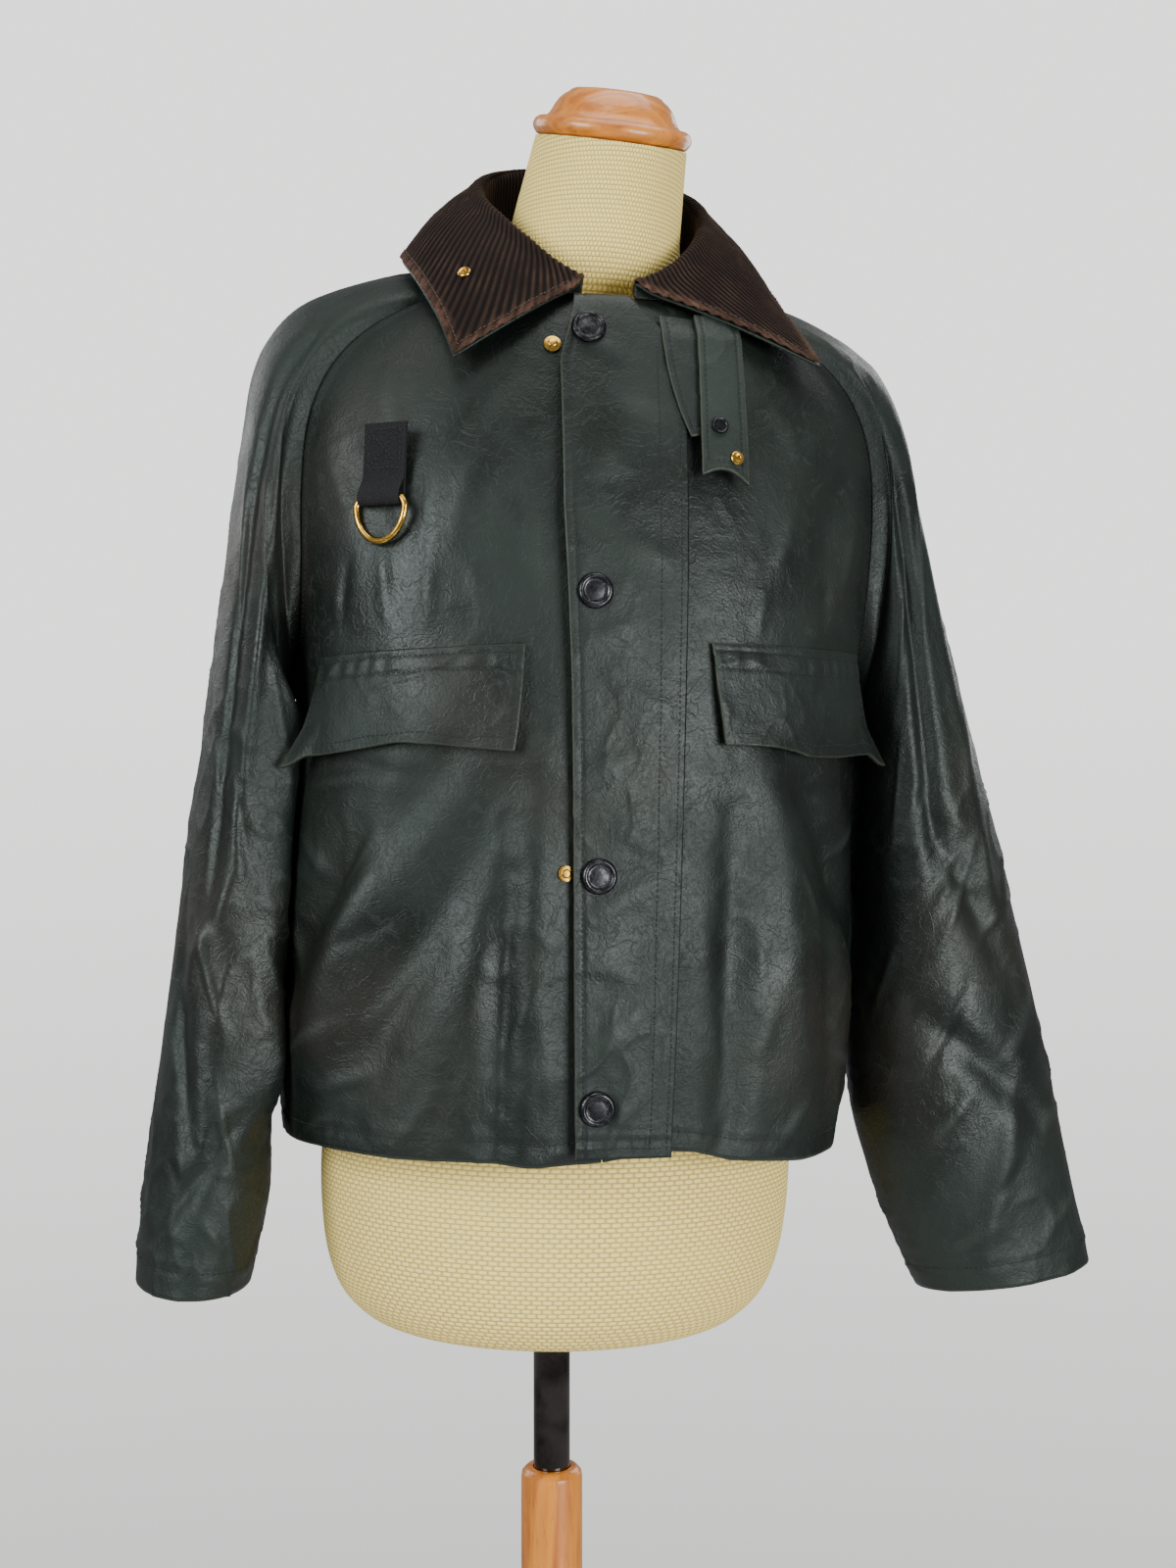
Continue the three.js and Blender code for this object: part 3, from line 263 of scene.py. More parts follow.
bodyRounds = table(
    "side half front back rise tilt square seamFront seamBack",
    (880, 186, 147, 126, 8, 0, 2.4, 90, 90),
    (930, 192, 150, 128, 7, 0, 2.4, 90, 90),
    (990, 194, 151, 130, 4, 0, 2.4, 90, 90),
    (1060, 191, 150, 129, 2, 0, 2.4, 90, 90),
    (1120, 188, 148, 127, 0, 0, 2.4, 90, 90),
    (1165, 187, 146, 126, 0, 0, 2.4, 90, 90),
    (1200, 190, 144, 125, 0, 0, 2.4, 77, 103),
    (1245, 195, 141, 124, 0, 0, 2.4, 70, 110),
    (1295, 199, 134, 122, 0, 0, 2.35, 68, 112),
    (1340, 198, 124, 118, 0, 2, 2.3, 67, 113),
    (1375, 190, 115, 112, 0, 5, 2.2, 65, 115),
    (1402, 173, 108, 104, 0, 9, 2.1, 63, 117),
    (1424, 146, 102, 94, 0, 15, 2.05, 61, 119),
    (1441, 114, 97, 80, 0, 22, 2, 60, 118),
    (1456, 76, 90, 62, 0, 31, 2, 62, 112),
)
foldNames = "startAcross startAlong endAcross endAlong width depth"
bodyFolds = table(
    foldNames,
    (-30, 1132, -72, 985, 16, -9),
    (-22, 1110, -50, 905, 20, -10),
    (-40, 1120, -62, 930, 14, 8),
    (-14, 1130, -14, 890, 12, 4),
    (-19, 1060, -20, 885, 9, -7),
    (36, 1138, 66, 1010, 15, -8),
    (32, 1130, 42, 905, 15, 6),
    (24, 1100, 24, 880, 12, -8),
    (50, 1060, 56, 900, 16, -7),
    (-80, 1110, -84, 950, 18, -1.5),
    (80, 1120, 84, 960, 18, -2),
    (-52, 1330, -40, 1245, 14, -4),
    (50, 1330, 40, 1245, 14, -4),
    (-112, 1240, -150, 1060, 18, -9),
    (112, 1240, 148, 1040, 18, -8),
    (-165, 1130, -160, 880, 22, -8),
    (162, 1100, 170, 880, 20, 7),
    (-128, 1090, -122, 890, 20, 8),
    (130, 1060, 124, 890, 20, -7),
)
# Smaller creases on the same cloth. Across is in degrees round, along is the height.
bodyCreases = table(
    foldNames,
    (-60, 1128, -36, 1118, 4.5, -1.6), (-66, 1108, -48, 1116, 4, 1.3),
    (-70, 1080, -56, 1050, 5, 1.4), (-44, 1090, -54, 1035, 4, 1.2),
    (-58, 1000, -40, 1030, 5, -1.2), (-76, 1030, -64, 985, 5, 1.5),
    (-34, 1010, -46, 960, 4.5, 1.1), (-70, 940, -52, 962, 4.5, 1.7),
    (-60, 918, -44, 934, 4, 1.4), (-30, 930, -40, 890, 4.5, 1.3),
    (-54, 905, -66, 888, 4, 1.2), (-12, 985, -10, 930, 5, 1.1),
    (-24, 965, -30, 915, 4, -1.0), (-80, 1000, -72, 950, 5, 1.2),
    (-26, 1318, -30, 1262, 6, 1.4), (-34, 1300, -36, 1250, 5, -1.2),
    (-44, 1262, -43, 1216, 4, 1.4), (-34, 1250, -35, 1212, 4, 1.3),
    (-26, 1244, -24, 1210, 4, 1.1), (-52, 1250, -55, 1212, 4, -1.3),
    (-58, 1318, -50, 1275, 6, 1.3), (-20, 1372, -28, 1330, 7, -1.4),
    (-46, 1365, -40, 1322, 7, 1.2), (-16, 1300, -15, 1230, 6, 1.2),
    (60, 1122, 40, 1112, 4.5, -1.4), (66, 1096, 52, 1072, 5, 1.5),
    (36, 1072, 46, 1030, 4.5, 1.4), (58, 1030, 70, 985, 5, 1.4),
    (34, 1000, 30, 950, 5, 1.2), (48, 985, 60, 950, 5, 1.3),
    (70, 930, 54, 948, 4.5, 1.5), (44, 925, 36, 892, 4.5, 1.3),
    (20, 985, 22, 930, 5, 1.2), (62, 905, 74, 925, 4, 1.3),
    (28, 930, 24, 895, 4, -1.1), (76, 1050, 70, 1002, 5, 1.3),
    (34, 1300, 30, 1252, 6, 1.3), (44, 1262, 44, 1218, 5, -1.2),
    (54, 1296, 48, 1240, 6, 1.2), (30, 1366, 36, 1322, 7, 1.2),
    (56, 1350, 60, 1300, 7, -1.2), (28, 1240, 27, 1212, 4, 1.0),
    (-100, 1180, -122, 1120, 6, 1.8), (-104, 1090, -126, 1040, 6, 1.6),
    (-98, 1010, -116, 962, 6, 1.5), (-112, 930, -100, 900, 5, 1.5),
    (-140, 1010, -150, 950, 7, 1.5), (-134, 1330, -128, 1250, 8, -1.8),
    (-150, 1280, -140, 1200, 8, 1.6), (-172, 1250, -166, 1160, 9, -1.5),
    (-176, 1050, -172, 960, 7, 1.4), (-142, 930, -150, 892, 5, 1.4),
    (102, 1175, 122, 1112, 6, 1.8), (100, 1085, 124, 1030, 6, 1.6),
    (98, 1000, 114, 955, 6, 1.6), (110, 925, 98, 898, 5, 1.4),
    (142, 1005, 152, 945, 7, 1.5), (132, 1325, 126, 1245, 8, -1.8),
    (150, 1275, 142, 1190, 8, 1.6), (176, 1200, 170, 1110, 8, 1.5),
    (156, 950, 148, 900, 6, 1.5), (172, 930, 178, 890, 6, -1.4),
)
hemDepth = 13        # the stitch row above the hem
hemTurn = 20         # width of the turned hem
halvings = 22        # steps to find a round, to well under a hundredth of a millimetre
bodyLook = {"seamWidth": 7, "seamSlope": 2, "seamHeight": 0.9, "stitchPlace": 6.2, "stitchDepth": 0.5,
            "hemHeight": 0.5, "hemStitchDepth": 0.7, "pucker": 0.9, "calmTop": 1230, "liveliestFrom": 900,
            "ripples": ((1, 34, 3.1, 90, 7.7, 0.5, 1.5), (0.4, 15, 9.2, 60, 1.3, 0.3, 1.0))}


def wrapAngle(angle):
    return np.where(angle > 180, angle - 360, angle)


def bodyPoint(angle, level):
    angle, level = np.broadcast_arrays(np.asarray(angle, float), np.asarray(level, float))
    side, half, front, back, rise, tilt, square = tableValues(
        bodyRounds, level, "side half front back rise tilt square")
    sine, cosine = np.sin(np.radians(angle)), np.cos(np.radians(angle))
    swell = (np.abs(sine) ** square + np.abs(cosine) ** square) ** (-1 / square)
    x = half * sine * swell
    y = -np.where(cosine > 0, front, back) * cosine * swell
    z = side - tilt * cosine + np.where(cosine > 0, rise * cosine ** 2, 0)
    fold = foldHeight(bodyFolds, wrapAngle(angle), z, foldScale, 1) * smooth(neckRound - level, 0, 3)
    plan = np.hypot(x, y)
    return np.stack([x + fold * x / plan, y + fold * y / plan, z], axis=-1)


def bodyNormal(angle, level):
    step = 0.02
    around = bodyPoint(angle + 0.5, level) - bodyPoint(angle - 0.5, level)
    up = bodyPoint(angle, np.minimum(level + step, neckRound)) - bodyPoint(angle, np.maximum(level - step, 0))
    return unit(np.cross(around, up))


def roundAt(angle, z):  # the round that passes through a height; folds don't change heights
    angle, z = np.broadcast_arrays(np.asarray(angle, float), np.asarray(z, float))
    cosine = np.cos(np.radians(angle))
    low, high = np.zeros(z.shape), np.full(z.shape, float(neckRound))
    for _ in range(halvings):
        middle = (low + high) / 2
        side, tilt, rise = tableValues(bodyRounds, middle, "side tilt rise")
        height = side - tilt * cosine + np.where(cosine > 0, rise * cosine ** 2, 0)
        low, high = np.where(height < z, middle, low), np.where(height < z, high, middle)
    return (low + high) / 2


def angleAt(x, z):  # the angle on the front where the cloth has a given x
    x, z = np.broadcast_arrays(np.asarray(x, float), np.asarray(z, float))
    angle = np.degrees(np.arcsin(np.clip(x / 200, -0.95, 0.95)))
    for _ in range(7):
        here = bodyPoint(angle, roundAt(angle, z))[..., 0]
        ahead = bodyPoint(angle + 0.5, roundAt(angle + 0.5, z))[..., 0]
        angle = angle + np.clip((x - here) / np.maximum((ahead - here) / 0.5, 0.4), -12, 12)
    return angle


def seamAngle(level, name):
    value = np.clip(tableValue(bodyRounds, level, name), 60, 120)
    return np.where(np.asarray(level) <= underarmRound, 90.0, value)


def bodyDetail(angle, level, points):  # creases, crumple, hem and seam ridges over the folds
    turn = wrapAngle(angle)
    z = points[..., 2]
    creases = foldHeight(bodyCreases, turn, z, foldScale, 1)
    look = bodyLook
    low = 1 - smooth(z, look["liveliestFrom"], look["calmTop"])
    ripple = ripples(points, low, bodyLook["ripples"])
    above = z - bodyPoint(angle, 0.0)[..., 2]
    hem = look["hemHeight"] * smooth(-above, -hemTurn, -hemTurn + 3)
    hem = hem - look["hemStitchDepth"] * hump(above, hemDepth, 1.6)
    tight = crumple(points * np.array([1, 1, 0.3]), 9, 4.4) - 0.3
    hem += hump(above, hemDepth, 5) * look["pucker"] * tight
    seam = np.where(np.abs(turn) < 90, seamAngle(level, "seamFront"), seamAngle(level, "seamBack"))
    gap = np.abs(np.abs(turn) - seam) * foldScale
    ridge = look["seamHeight"] * (1 - smooth(gap, look["seamWidth"], look["seamWidth"] + look["seamSlope"]))
    ridge = ridge - look["stitchDepth"] * hump(gap, look["stitchPlace"], 1.2)
    pull = smooth(gap, 2, 16)
    return creases * pull + ripple * pull + hem + ridge, creases


def overBody(angle, z, lift):
    level = roundAt(angle, z)
    base = bodyPoint(angle, level)
    detail, _ = bodyDetail(angle, level, base)
    return base + bodyNormal(angle, level) * np.asarray(detail + lift)[..., None]


# Making meshes from grids of points

cloth = bpy.data.collections.new("cloth")
bpy.context.scene.collection.children.link(cloth)


def pickOnly(piece):
    bpy.ops.object.select_all(action="DESELECT")
    piece.select_set(True)
    bpy.context.view_layer.objects.active = piece


def meshPiece(name, points, faces, attributes=None, uv=None):
    mesh = bpy.data.meshes.new(name)
    mesh.from_pydata(points.tolist(), [], faces.tolist() if isinstance(faces, np.ndarray) else faces)
    for key, values in (attributes or {}).items():
        mesh.attributes.new(key, "FLOAT", "POINT").data.foreach_set("value", np.ravel(values))
    if uv is not None:
        layer = mesh.uv_layers.new(name="cloth")
        corners = np.zeros(len(mesh.loops), int)
        mesh.loops.foreach_get("vertex_index", corners)
        layer.data.foreach_set("uv", np.ravel(uv.reshape(-1, 2)[corners]))
    piece = bpy.data.objects.new(name, mesh)
    cloth.objects.link(piece)
    mesh.polygons.foreach_set("use_smooth", [True] * len(mesh.polygons))
    return piece


def gridFaces(rows, columns, closed=False):
    i, j = np.meshgrid(np.arange(rows - 1), np.arange(columns if closed else columns - 1), indexing="ij")
    here, beside = i * columns + j, i * columns + (j + 1) % columns
    return np.stack([here, beside, beside + columns, here + columns], axis=-1).reshape(-1, 4)


def sheetPiece(name, points, thickness, closed=False, outward=1, attributes=None, wallShare=None, uv=None):
    rows, columns = points.shape[:2]
    faces = gridFaces(rows, columns, closed)
    if outward < 0:
        faces = faces[:, ::-1]
    piece = meshPiece(name, leaned(points).reshape(-1, 3), faces, attributes, uv)
    wall = piece.modifiers.new("wall", "SOLIDIFY")
    wall.thickness = thickness * metres
    wall.offset = -1
    wall.use_even_offset = False
    if wallShare is not None:  # a turned hem is thicker than the single cloth
        group = piece.vertex_groups.new(name="wall")
        shares = np.round(np.ravel(wallShare), 2)
        for share in np.unique(shares):
            group.add(np.nonzero(shares == share)[0].tolist(), float(share), "REPLACE")
        wall.vertex_group = "wall"
    pickOnly(piece)
    bpy.ops.object.modifier_apply(modifier=wall.name)
    piece.vertex_groups.clear()
    return piece


def shareGrid(columns, rows):  # shares across and up a piece
    return np.meshgrid(np.linspace(0, 1, columns), np.linspace(0, 1, rows))


def surfaceNormals(points, closed=False):
    if closed:
        around = np.roll(points, -1, axis=1) - np.roll(points, 1, axis=1)
    else:
        around = np.gradient(points, axis=1)
    return unit(np.cross(around, np.gradient(points, axis=0)))


# Stitches: short bars of thread laid along a path

thread = {"length": 2.7, "pitch": 3.5, "width": 0.8, "height": 0.45}
stitchStore = {}


def stitchRow(group, path, normals, skip=0.0):
    place = pathLength(path)
    count = int((place[-1] - 2 * skip) / thread["pitch"])
    if count < 1:
        return
    middles = skip + thread["pitch"] * (np.arange(count) + 0.5)
    at = lambda value, where: np.stack([np.interp(where, place, value[:, k]) for k in range(3)], axis=-1)
    centre = at(path, middles)
    half = thread["length"] / 2
    along = unit(at(path, middles + half) - at(path, middles - half))
    out = unit(at(normals, middles))
    side = unit(np.cross(along, out))
    rings = []
    for share, size in ((-1, 0.35), (-0.72, 0.9), (0.72, 0.9), (1, 0.35)):
        sink = 0.05 - 0.35 * (abs(share) > 0.9)
        spine = centre + along * (share * half) + out * sink
        for turn in np.radians((0, 60, 120, 180, 240, 300)):
            offset = side * math.cos(turn) * thread["width"] / 2 + out * math.sin(turn) * thread["height"] / 2
            rings.append(spine + offset * size)
    points = np.stack(rings, axis=1)
    stitchStore.setdefault(group, []).append(points)


def sewStitches(group, material):
    points = np.concatenate(stitchStore[group])
    bar = []
    for ring in range(3):
        for k in range(6):
            low, beside = ring * 6 + k, ring * 6 + (k + 1) % 6
            bar.append((low, low + 6, beside + 6, beside))
    bar += [(0, 1, 2, 3, 4, 5), (23, 22, 21, 20, 19, 18)]
    faces = [tuple(base + v for v in face) for base in range(0, len(points) * 24, 24) for face in bar]
    piece = meshPiece("stitches_" + group, leaned(points.reshape(-1, 3)), faces)
    pickOnly(piece)
    bpy.ops.object.mode_set(mode="EDIT")
    bpy.ops.mesh.select_all(action="SELECT")
    bpy.ops.mesh.normals_make_consistent(inside=False)
    bpy.ops.object.mode_set(mode="OBJECT")
    piece.data.materials.append(material)
    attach(piece, "jacket")


# Materials

softly = {"interpolation_type": "SMOOTHSTEP"}
colourMix = {"data_type": "RGBA"}
times, plus, minus = {"operation": "MULTIPLY"}, {"operation": "ADD"}, {"operation": "SUBTRACT"}
sine = {"operation": "SINE"}


def layColour(add, base, source, low, high, most, colour):  # a colour over another where the source is high
    share = add("MapRange", softly, Value=source, From_Min=low, From_Max=high, To_Max=most)
    return add("Mix", colourMix, 2, Factor=share, n6=base, n7=linear(colour))


# Waxed cotton: a tight plain weave filled with wax. The wax gives a satin gloss in soft
# clouds, and where the cloth is creased or rubbed it is paler and drier.
waxLook = {
    "deep": "#0a0f0b", "mid": "#151c17", "dry": "#2d332e", "brown": "#221e18", "edge": "#45493b",
    "cloudMm": 120, "rubMm": 26, "creaseMm": 19, "grainMm": 1.7, "softMm": 52, "wideScale": 6,
    "softDepth": 2.0, "lineDepth": 0.09, "rubDepth": 0.16, "grainDepth": 0.22,
    "glossy": 0.38, "dull": 0.58, "dryShare": 0.3, "shine": "#dce7e0",
}
waxUnderLook = dict(waxLook, deep="#131a14", mid="#1e261f", glossy=0.46, dull=0.62)


def waxedCotton(name, look):
    material, add, here = startMaterial(name)
    cloud, rub, grain, ridge, soft = (
        add("TexNoise", Vector=here, Scale=1000 / look[size], Detail=detail, Distortion=bend)
        for size, detail, bend in (("cloudMm", 4, 0.6), ("rubMm", 5, 1.2), ("grainMm", 2, 0),
                                   ("creaseMm", 3, 1.6), ("softMm", 3, 0.3)))
    wide = add("TexNoise", Vector=here, Scale=look["wideScale"], Detail=3, Distortion=0.3)
    folded = add("Math", {"operation": "ABSOLUTE"}, n0=add("Math", minus, n0=ridge, n1=0.5))
    line = add("MapRange", softly, Value=folded, From_Max=0.045, To_Min=1.0, To_Max=0.0)
    worn = add("MapRange", softly, Value=rub, From_Min=0.5, From_Max=0.72)
    crackle = add("Math", times, n0=line, n1=worn)
    crease, edge = (add("Attribute", {"attribute_name": key}, "Fac") for key in ("crease", "edge"))
    base = layColour(add, linear(look["deep"]), cloud, 0.35, 0.68, 1, look["mid"])
    base = layColour(add, base, wide, 0.5, 0.75, 0.75, look["brown"])
    base = layColour(add, base, crease, 0.2, 1.8, 0.4, look["dry"])
    dry = add("Math", times, n0=crackle, n1=look["dryShare"])
    base = add("Mix", colourMix, 2, Factor=dry, n6=base, n7=linear(look["dry"]))
    base = layColour(add, base, edge, 0.3, 1, 0.4, look["edge"])
    gloss = add("MapRange", softly, Value=cloud, From_Min=0.3, From_Max=0.7,
                To_Min=look["glossy"], To_Max=look["dull"])
    weave = add("MapRange", softly, Value=grain, From_Min=0.3, From_Max=0.7, To_Min=-0.04, To_Max=0.06)
    rough = add("Math", plus, n0=add("Math", plus, n0=gloss, n1=weave),
                n1=add("Math", times, n0=crackle, n1=0.2))
    normal = add("Bump", Height=soft, Distance=look["softDepth"] * metres)
    for height, depth in ((line, "lineDepth"), (rub, "rubDepth"), (grain, "grainDepth")):
        normal = add("Bump", Height=height, Distance=look[depth] * metres, Normal=normal)
    return finishMaterial(material, Base_Color=base, Roughness=rough, Normal=normal, IOR=1.46,
                          Specular_IOR_Level=0.5, Specular_Tint=linear(look["shine"]))


# Corduroy: cut pile in raised wales over a woven ground, with painted shade making the grooves near black
# and a painted highlight on the wale tops in soft clouds; matt, and rubbed to a paler brown along the collar's
# edge.
corduroyLook = {"groove": "#020101", "pile": "#21150e", "lit": "#4a3527", "rubbed": "#64493a",
                "dark": "#140c08", "sheen": "#9a8070", "pileMm": 0.9, "pileDepth": 0.35}


def corduroy(look):
    material, add, here = startMaterial("cotton_corduroy")
    pile = add("TexNoise", Vector=here, Scale=1000 / look["pileMm"], Detail=2)
    cloud = add("TexNoise", Vector=here, Scale=45, Detail=4, Distortion=0.5)
    patch = add("TexNoise", Vector=here, Scale=160, Detail=4)
    wale, edge = (add("Attribute", {"attribute_name": key}, "Fac") for key in ("wale", "edge"))
    # painted shade: the grooves between the wales are coloured near black
    base = layColour(add, linear(look["groove"]), wale, 0.3, 1, 1, look["pile"])
    top = add("MapRange", softly, Value=wale, From_Min=0.5)
    lit = add("MapRange", softly, Value=cloud, From_Min=0.4, From_Max=0.75, To_Max=0.5)
    uneven = add("MapRange", softly, Value=patch, From_Min=0.3, From_Max=0.6, To_Min=0.3, To_Max=0.9)
    # painted highlight: the lit colour brightens the wale tops in soft clouds
    for first, second, colour in ((lit, top, "lit"), (edge, uneven, "rubbed")):
        share = add("Math", times, n0=first, n1=second)
        base = add("Mix", colourMix, 2, Factor=share, n6=base, n7=linear(look[colour]))
    base = layColour(add, base, pile, 0.35, 0.7, 0.35, look["dark"])
    normal = add("Bump", Height=pile, Distance=look["pileDepth"] * metres)
    return finishMaterial(material, Base_Color=base, Roughness=0.92, Normal=normal, Specular_IOR_Level=0.15,
                          Sheen_Weight=0.16, Sheen_Roughness=0.4, Sheen_Tint=linear(look["sheen"]))


# Polypropylene webbing: black, coarse cross ribs with a dull shine on the yarns; the colour is a painted
# highlight on the rib crowns and painted shade between them.
webbingColours = {"low": "#060606", "high": "#1a1b1c", "fuzz": "#2c2d2e", "acrossMm": 1.4, "alongMm": 1.9,
                  "ribDepth": 0.4}


def webbingCloth(look):
    material, add, here = startMaterial("woven_webbing")
    uv = add("UVMap")
    waves = []
    for axis, size in (("X", "acrossMm"), ("Y", "alongMm")):
        along = add("SeparateXYZ", out=axis, Vector=uv)
        waves.append(add("Math", sine, n0=add("Math", times, n0=along, n1=2 * math.pi / look[size])))
    weave = add("Math", times, n0=waves[0], n1=waves[1])
    fuzz = add("TexNoise", Vector=here, Scale=1250, Detail=3)
    # painted highlight and shade: lighter on the rib crowns, darker between them
    base = layColour(add, linear(look["low"]), weave, -0.8, 0.8, 1, look["high"])
    base = layColour(add, base, fuzz, 0.55, 0.75, 0.4, look["fuzz"])
    normal = add("Bump", Height=weave, Distance=look["ribDepth"] * metres)
    return finishMaterial(material, Base_Color=base, Roughness=0.7, Normal=normal, Specular_IOR_Level=0.3)


# Metals: polished brass a little tarnished in soft clouds, snap caps of pressed brass with
# a dark antique plating rubbed bright in specks, and a chromed steel tube whose dark colours are a painted
# reflection of a dark room.
metalLooks = {
    "polished_brass": {"main": "#d9ad4f", "cloud": "#94702e", "speck": "#e6c877", "cloudMm": 7,
                       "smoothest": 0.13, "roughest": 0.32},
    "antique_plating": {"main": "#3b3c3d", "cloud": "#1d1e1f", "speck": "#8a8b8b", "cloudMm": 5,
                        "smoothest": 0.2, "roughest": 0.42},
    # painted reflection: the tube's dark main and cloud colours stand in for a dark room reflected in the
    # chrome
    "chrome_painted_dark_reflection": {"main": "#6c6461", "cloud": "#3a3432", "speck": "#7a726e", "cloudMm": 30,
                    "smoothest": 0.05, "roughest": 0.12},
}


def metal(name):
    look = metalLooks[name]
    material, add, here = startMaterial(name)
    cloud = add("TexNoise", Vector=here, Scale=1000 / look["cloudMm"], Detail=4)
    fine = add("TexNoise", Vector=here, Scale=500, Detail=5, Distortion=1.0)
    base = layColour(add, linear(look["main"]), cloud, 0.4, 0.7, 1, look["cloud"])
    base = layColour(add, base, fine, 0.58, 0.75, 0.5, look["speck"])
    rough = add("MapRange", softly, Value=cloud, From_Min=0.3, From_Max=0.7,
                To_Min=look["smoothest"], To_Max=look["roughest"])
    normal = add("Bump", Height=fine, Distance=0.008 * metres)
    return finishMaterial(material, Base_Color=base, Roughness=rough, Normal=normal, Metallic=1.0)


# Cotton cover of the form: a waffle weave of small raised ovals in staggered rows, paler on the ovals with
# painted shade in the hollows between them.
coverLook = {"pale": "#fbe68d", "shade": "#c9ab58", "warm": "#efd77c", "ovalMm": 6.4, "rowMm": 3.1,
             "depth": 0.8, "yarnDepth": 0.12}


def coverCloth(look):
    material, add, here = startMaterial("waffle_cotton")
    uv = add("UVMap")
    column, row = (add("Math", times, n0=add("SeparateXYZ", out=axis, Vector=uv), n1=1 / look[size])
                   for axis, size in (("X", "ovalMm"), ("Y", "rowMm")))
    odd = add("Math", {"operation": "MODULO"}, n0=add("Math", {"operation": "FLOOR"}, n0=row), n1=2)
    column = add("Math", plus, n0=column, n1=add("Math", times, n0=odd, n1=0.5))
    humps = []
    for value in (row, column):
        part = add("Math", {"operation": "FRACT"}, n0=value)
        humps.append(add("Math", sine, n0=add("Math", times, n0=part, n1=math.pi)))
    oval = add("Math", times, n0=humps[0], n1=humps[1])
    oval = add("Math", {"operation": "POWER"}, n0=oval, n1=0.6)
    yarn = add("TexNoise", Vector=here, Scale=1100, Detail=2)
    cloud = add("TexNoise", Vector=here, Scale=11, Detail=3)
    # painted shade: darker colour in the hollows between the raised ovals, paler on their tops
    base = layColour(add, linear(look["shade"]), oval, 0.1, 0.8, 1, look["pale"])
    base = layColour(add, base, cloud, 0.4, 0.7, 0.25, look["warm"])
    normal = add("Bump", Height=oval, Distance=look["depth"] * metres)
    normal = add("Bump", Height=yarn, Distance=look["yarnDepth"] * metres, Normal=normal)
    return finishMaterial(material, Base_Color=base, Roughness=0.88, Normal=normal, Specular_IOR_Level=0.2)


# Turned beech under clear lacquer: long fine grain with short darker flecks.
woodLook = {"light": "#d08227", "dark": "#aa6016", "fleck": "#84430a"}


def lacqueredBeech(name, grain, look):
    material, add, here = startMaterial(name)
    along = add("Mapping", Vector=here, Scale=grain)
    rings = add("TexNoise", Vector=along, Scale=62, Detail=5, Distortion=1.4)
    flecks = add("TexNoise", Vector=along, Scale=550, Detail=3)
    base = layColour(add, linear(look["light"]), rings, 0.35, 0.68, 1, look["dark"])
    base = layColour(add, base, flecks, 0.58, 0.72, 0.55, look["fleck"])
    return finishMaterial(material, Base_Color=base, Roughness=0.4, Coat_Weight=0.5, Coat_Roughness=0.14)


# Sewing thread: dark cotton, a little uneven along its length.
threadLooks = {"dark_thread": ("#0d0f0c", "#050605"), "brown_thread": ("#4a3528", "#2a1b12")}


def sewingThread(name):
    material, add, here = startMaterial(name)
    first, second = (linear(text) for text in threadLooks[name])
    twist = add("TexNoise", Vector=here, Scale=250, Detail=2)
    base = add("Mix", colourMix, 2, Factor=twist, n6=first, n7=second)
    return finishMaterial(material, Base_Color=base, Roughness=0.7)


waxMaterial = waxedCotton("waxed_cotton", waxLook)
underMaterial = waxedCotton("waxed_cotton_under", waxUnderLook)
cordMaterial = corduroy(corduroyLook)
webbingMaterial = webbingCloth(webbingColours)
brassMaterial = metal("polished_brass")
platingMaterial = metal("antique_plating")
chromeMaterial = metal("chrome_painted_dark_reflection")
coverMaterial = coverCloth(coverLook)
beechMaterial = lacqueredBeech("lacquered_beech", (1, 1, 0.12), woodLook)
capMaterial = lacqueredBeech("lacquered_beech_cap", (0.25, 1, 1), woodLook)
threadMaterial = sewingThread("dark_thread")
cordThreadMaterial = sewingThread("brown_thread")
print("materials made")


def dress(piece, material, slot, node, body="jacket", **cut):
    piece.data.materials.clear()
    piece.data.materials.append(material)
    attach(piece, body)
    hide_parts(node)


# Fronts and back

seamStitch = 2.15    # degrees from the raglan seam to its stitch row
panelLook = {"frontColumns": 98, "backColumns": 165, "rows": 190, "middleGap": 0.4}
hemWall = {"thickness": 3.4, "single": 0.45, "blend": 3}    # the turned hem's wall, and the share above it


def panelLevels(rows):  # rounds that are evenly spaced over the cloth
    fine = np.linspace(0, neckRound, 600)
    length = pathLength(bodyPoint(np.full(600, 35.0), fine))
    return np.interp(np.linspace(0, length[-1], rows), length, fine)


def gridPath(grid, across, up):  # points of a grid at shares of its columns and rows
    rows, columns = grid.shape[:2]
    i, j = np.clip(up, 0, 1) * (rows - 1), np.clip(across, 0, 1) * (columns - 1)
    low, left = np.minimum(i.astype(int), rows - 2), np.minimum(j.astype(int), columns - 2)
    down, over = (i - low)[:, None], (j - left)[:, None]
    return mix(mix(grid[low, left], grid[low, left + 1], over),
               mix(grid[low + 1, left], grid[low + 1, left + 1], over), down)


def sewPath(points, normals, across, up, group="wax"):
    out = gridPath(normals, across, up)
    stitchRow(group, gridPath(points, across, up) + out * 0.12, out, skip=1.5)


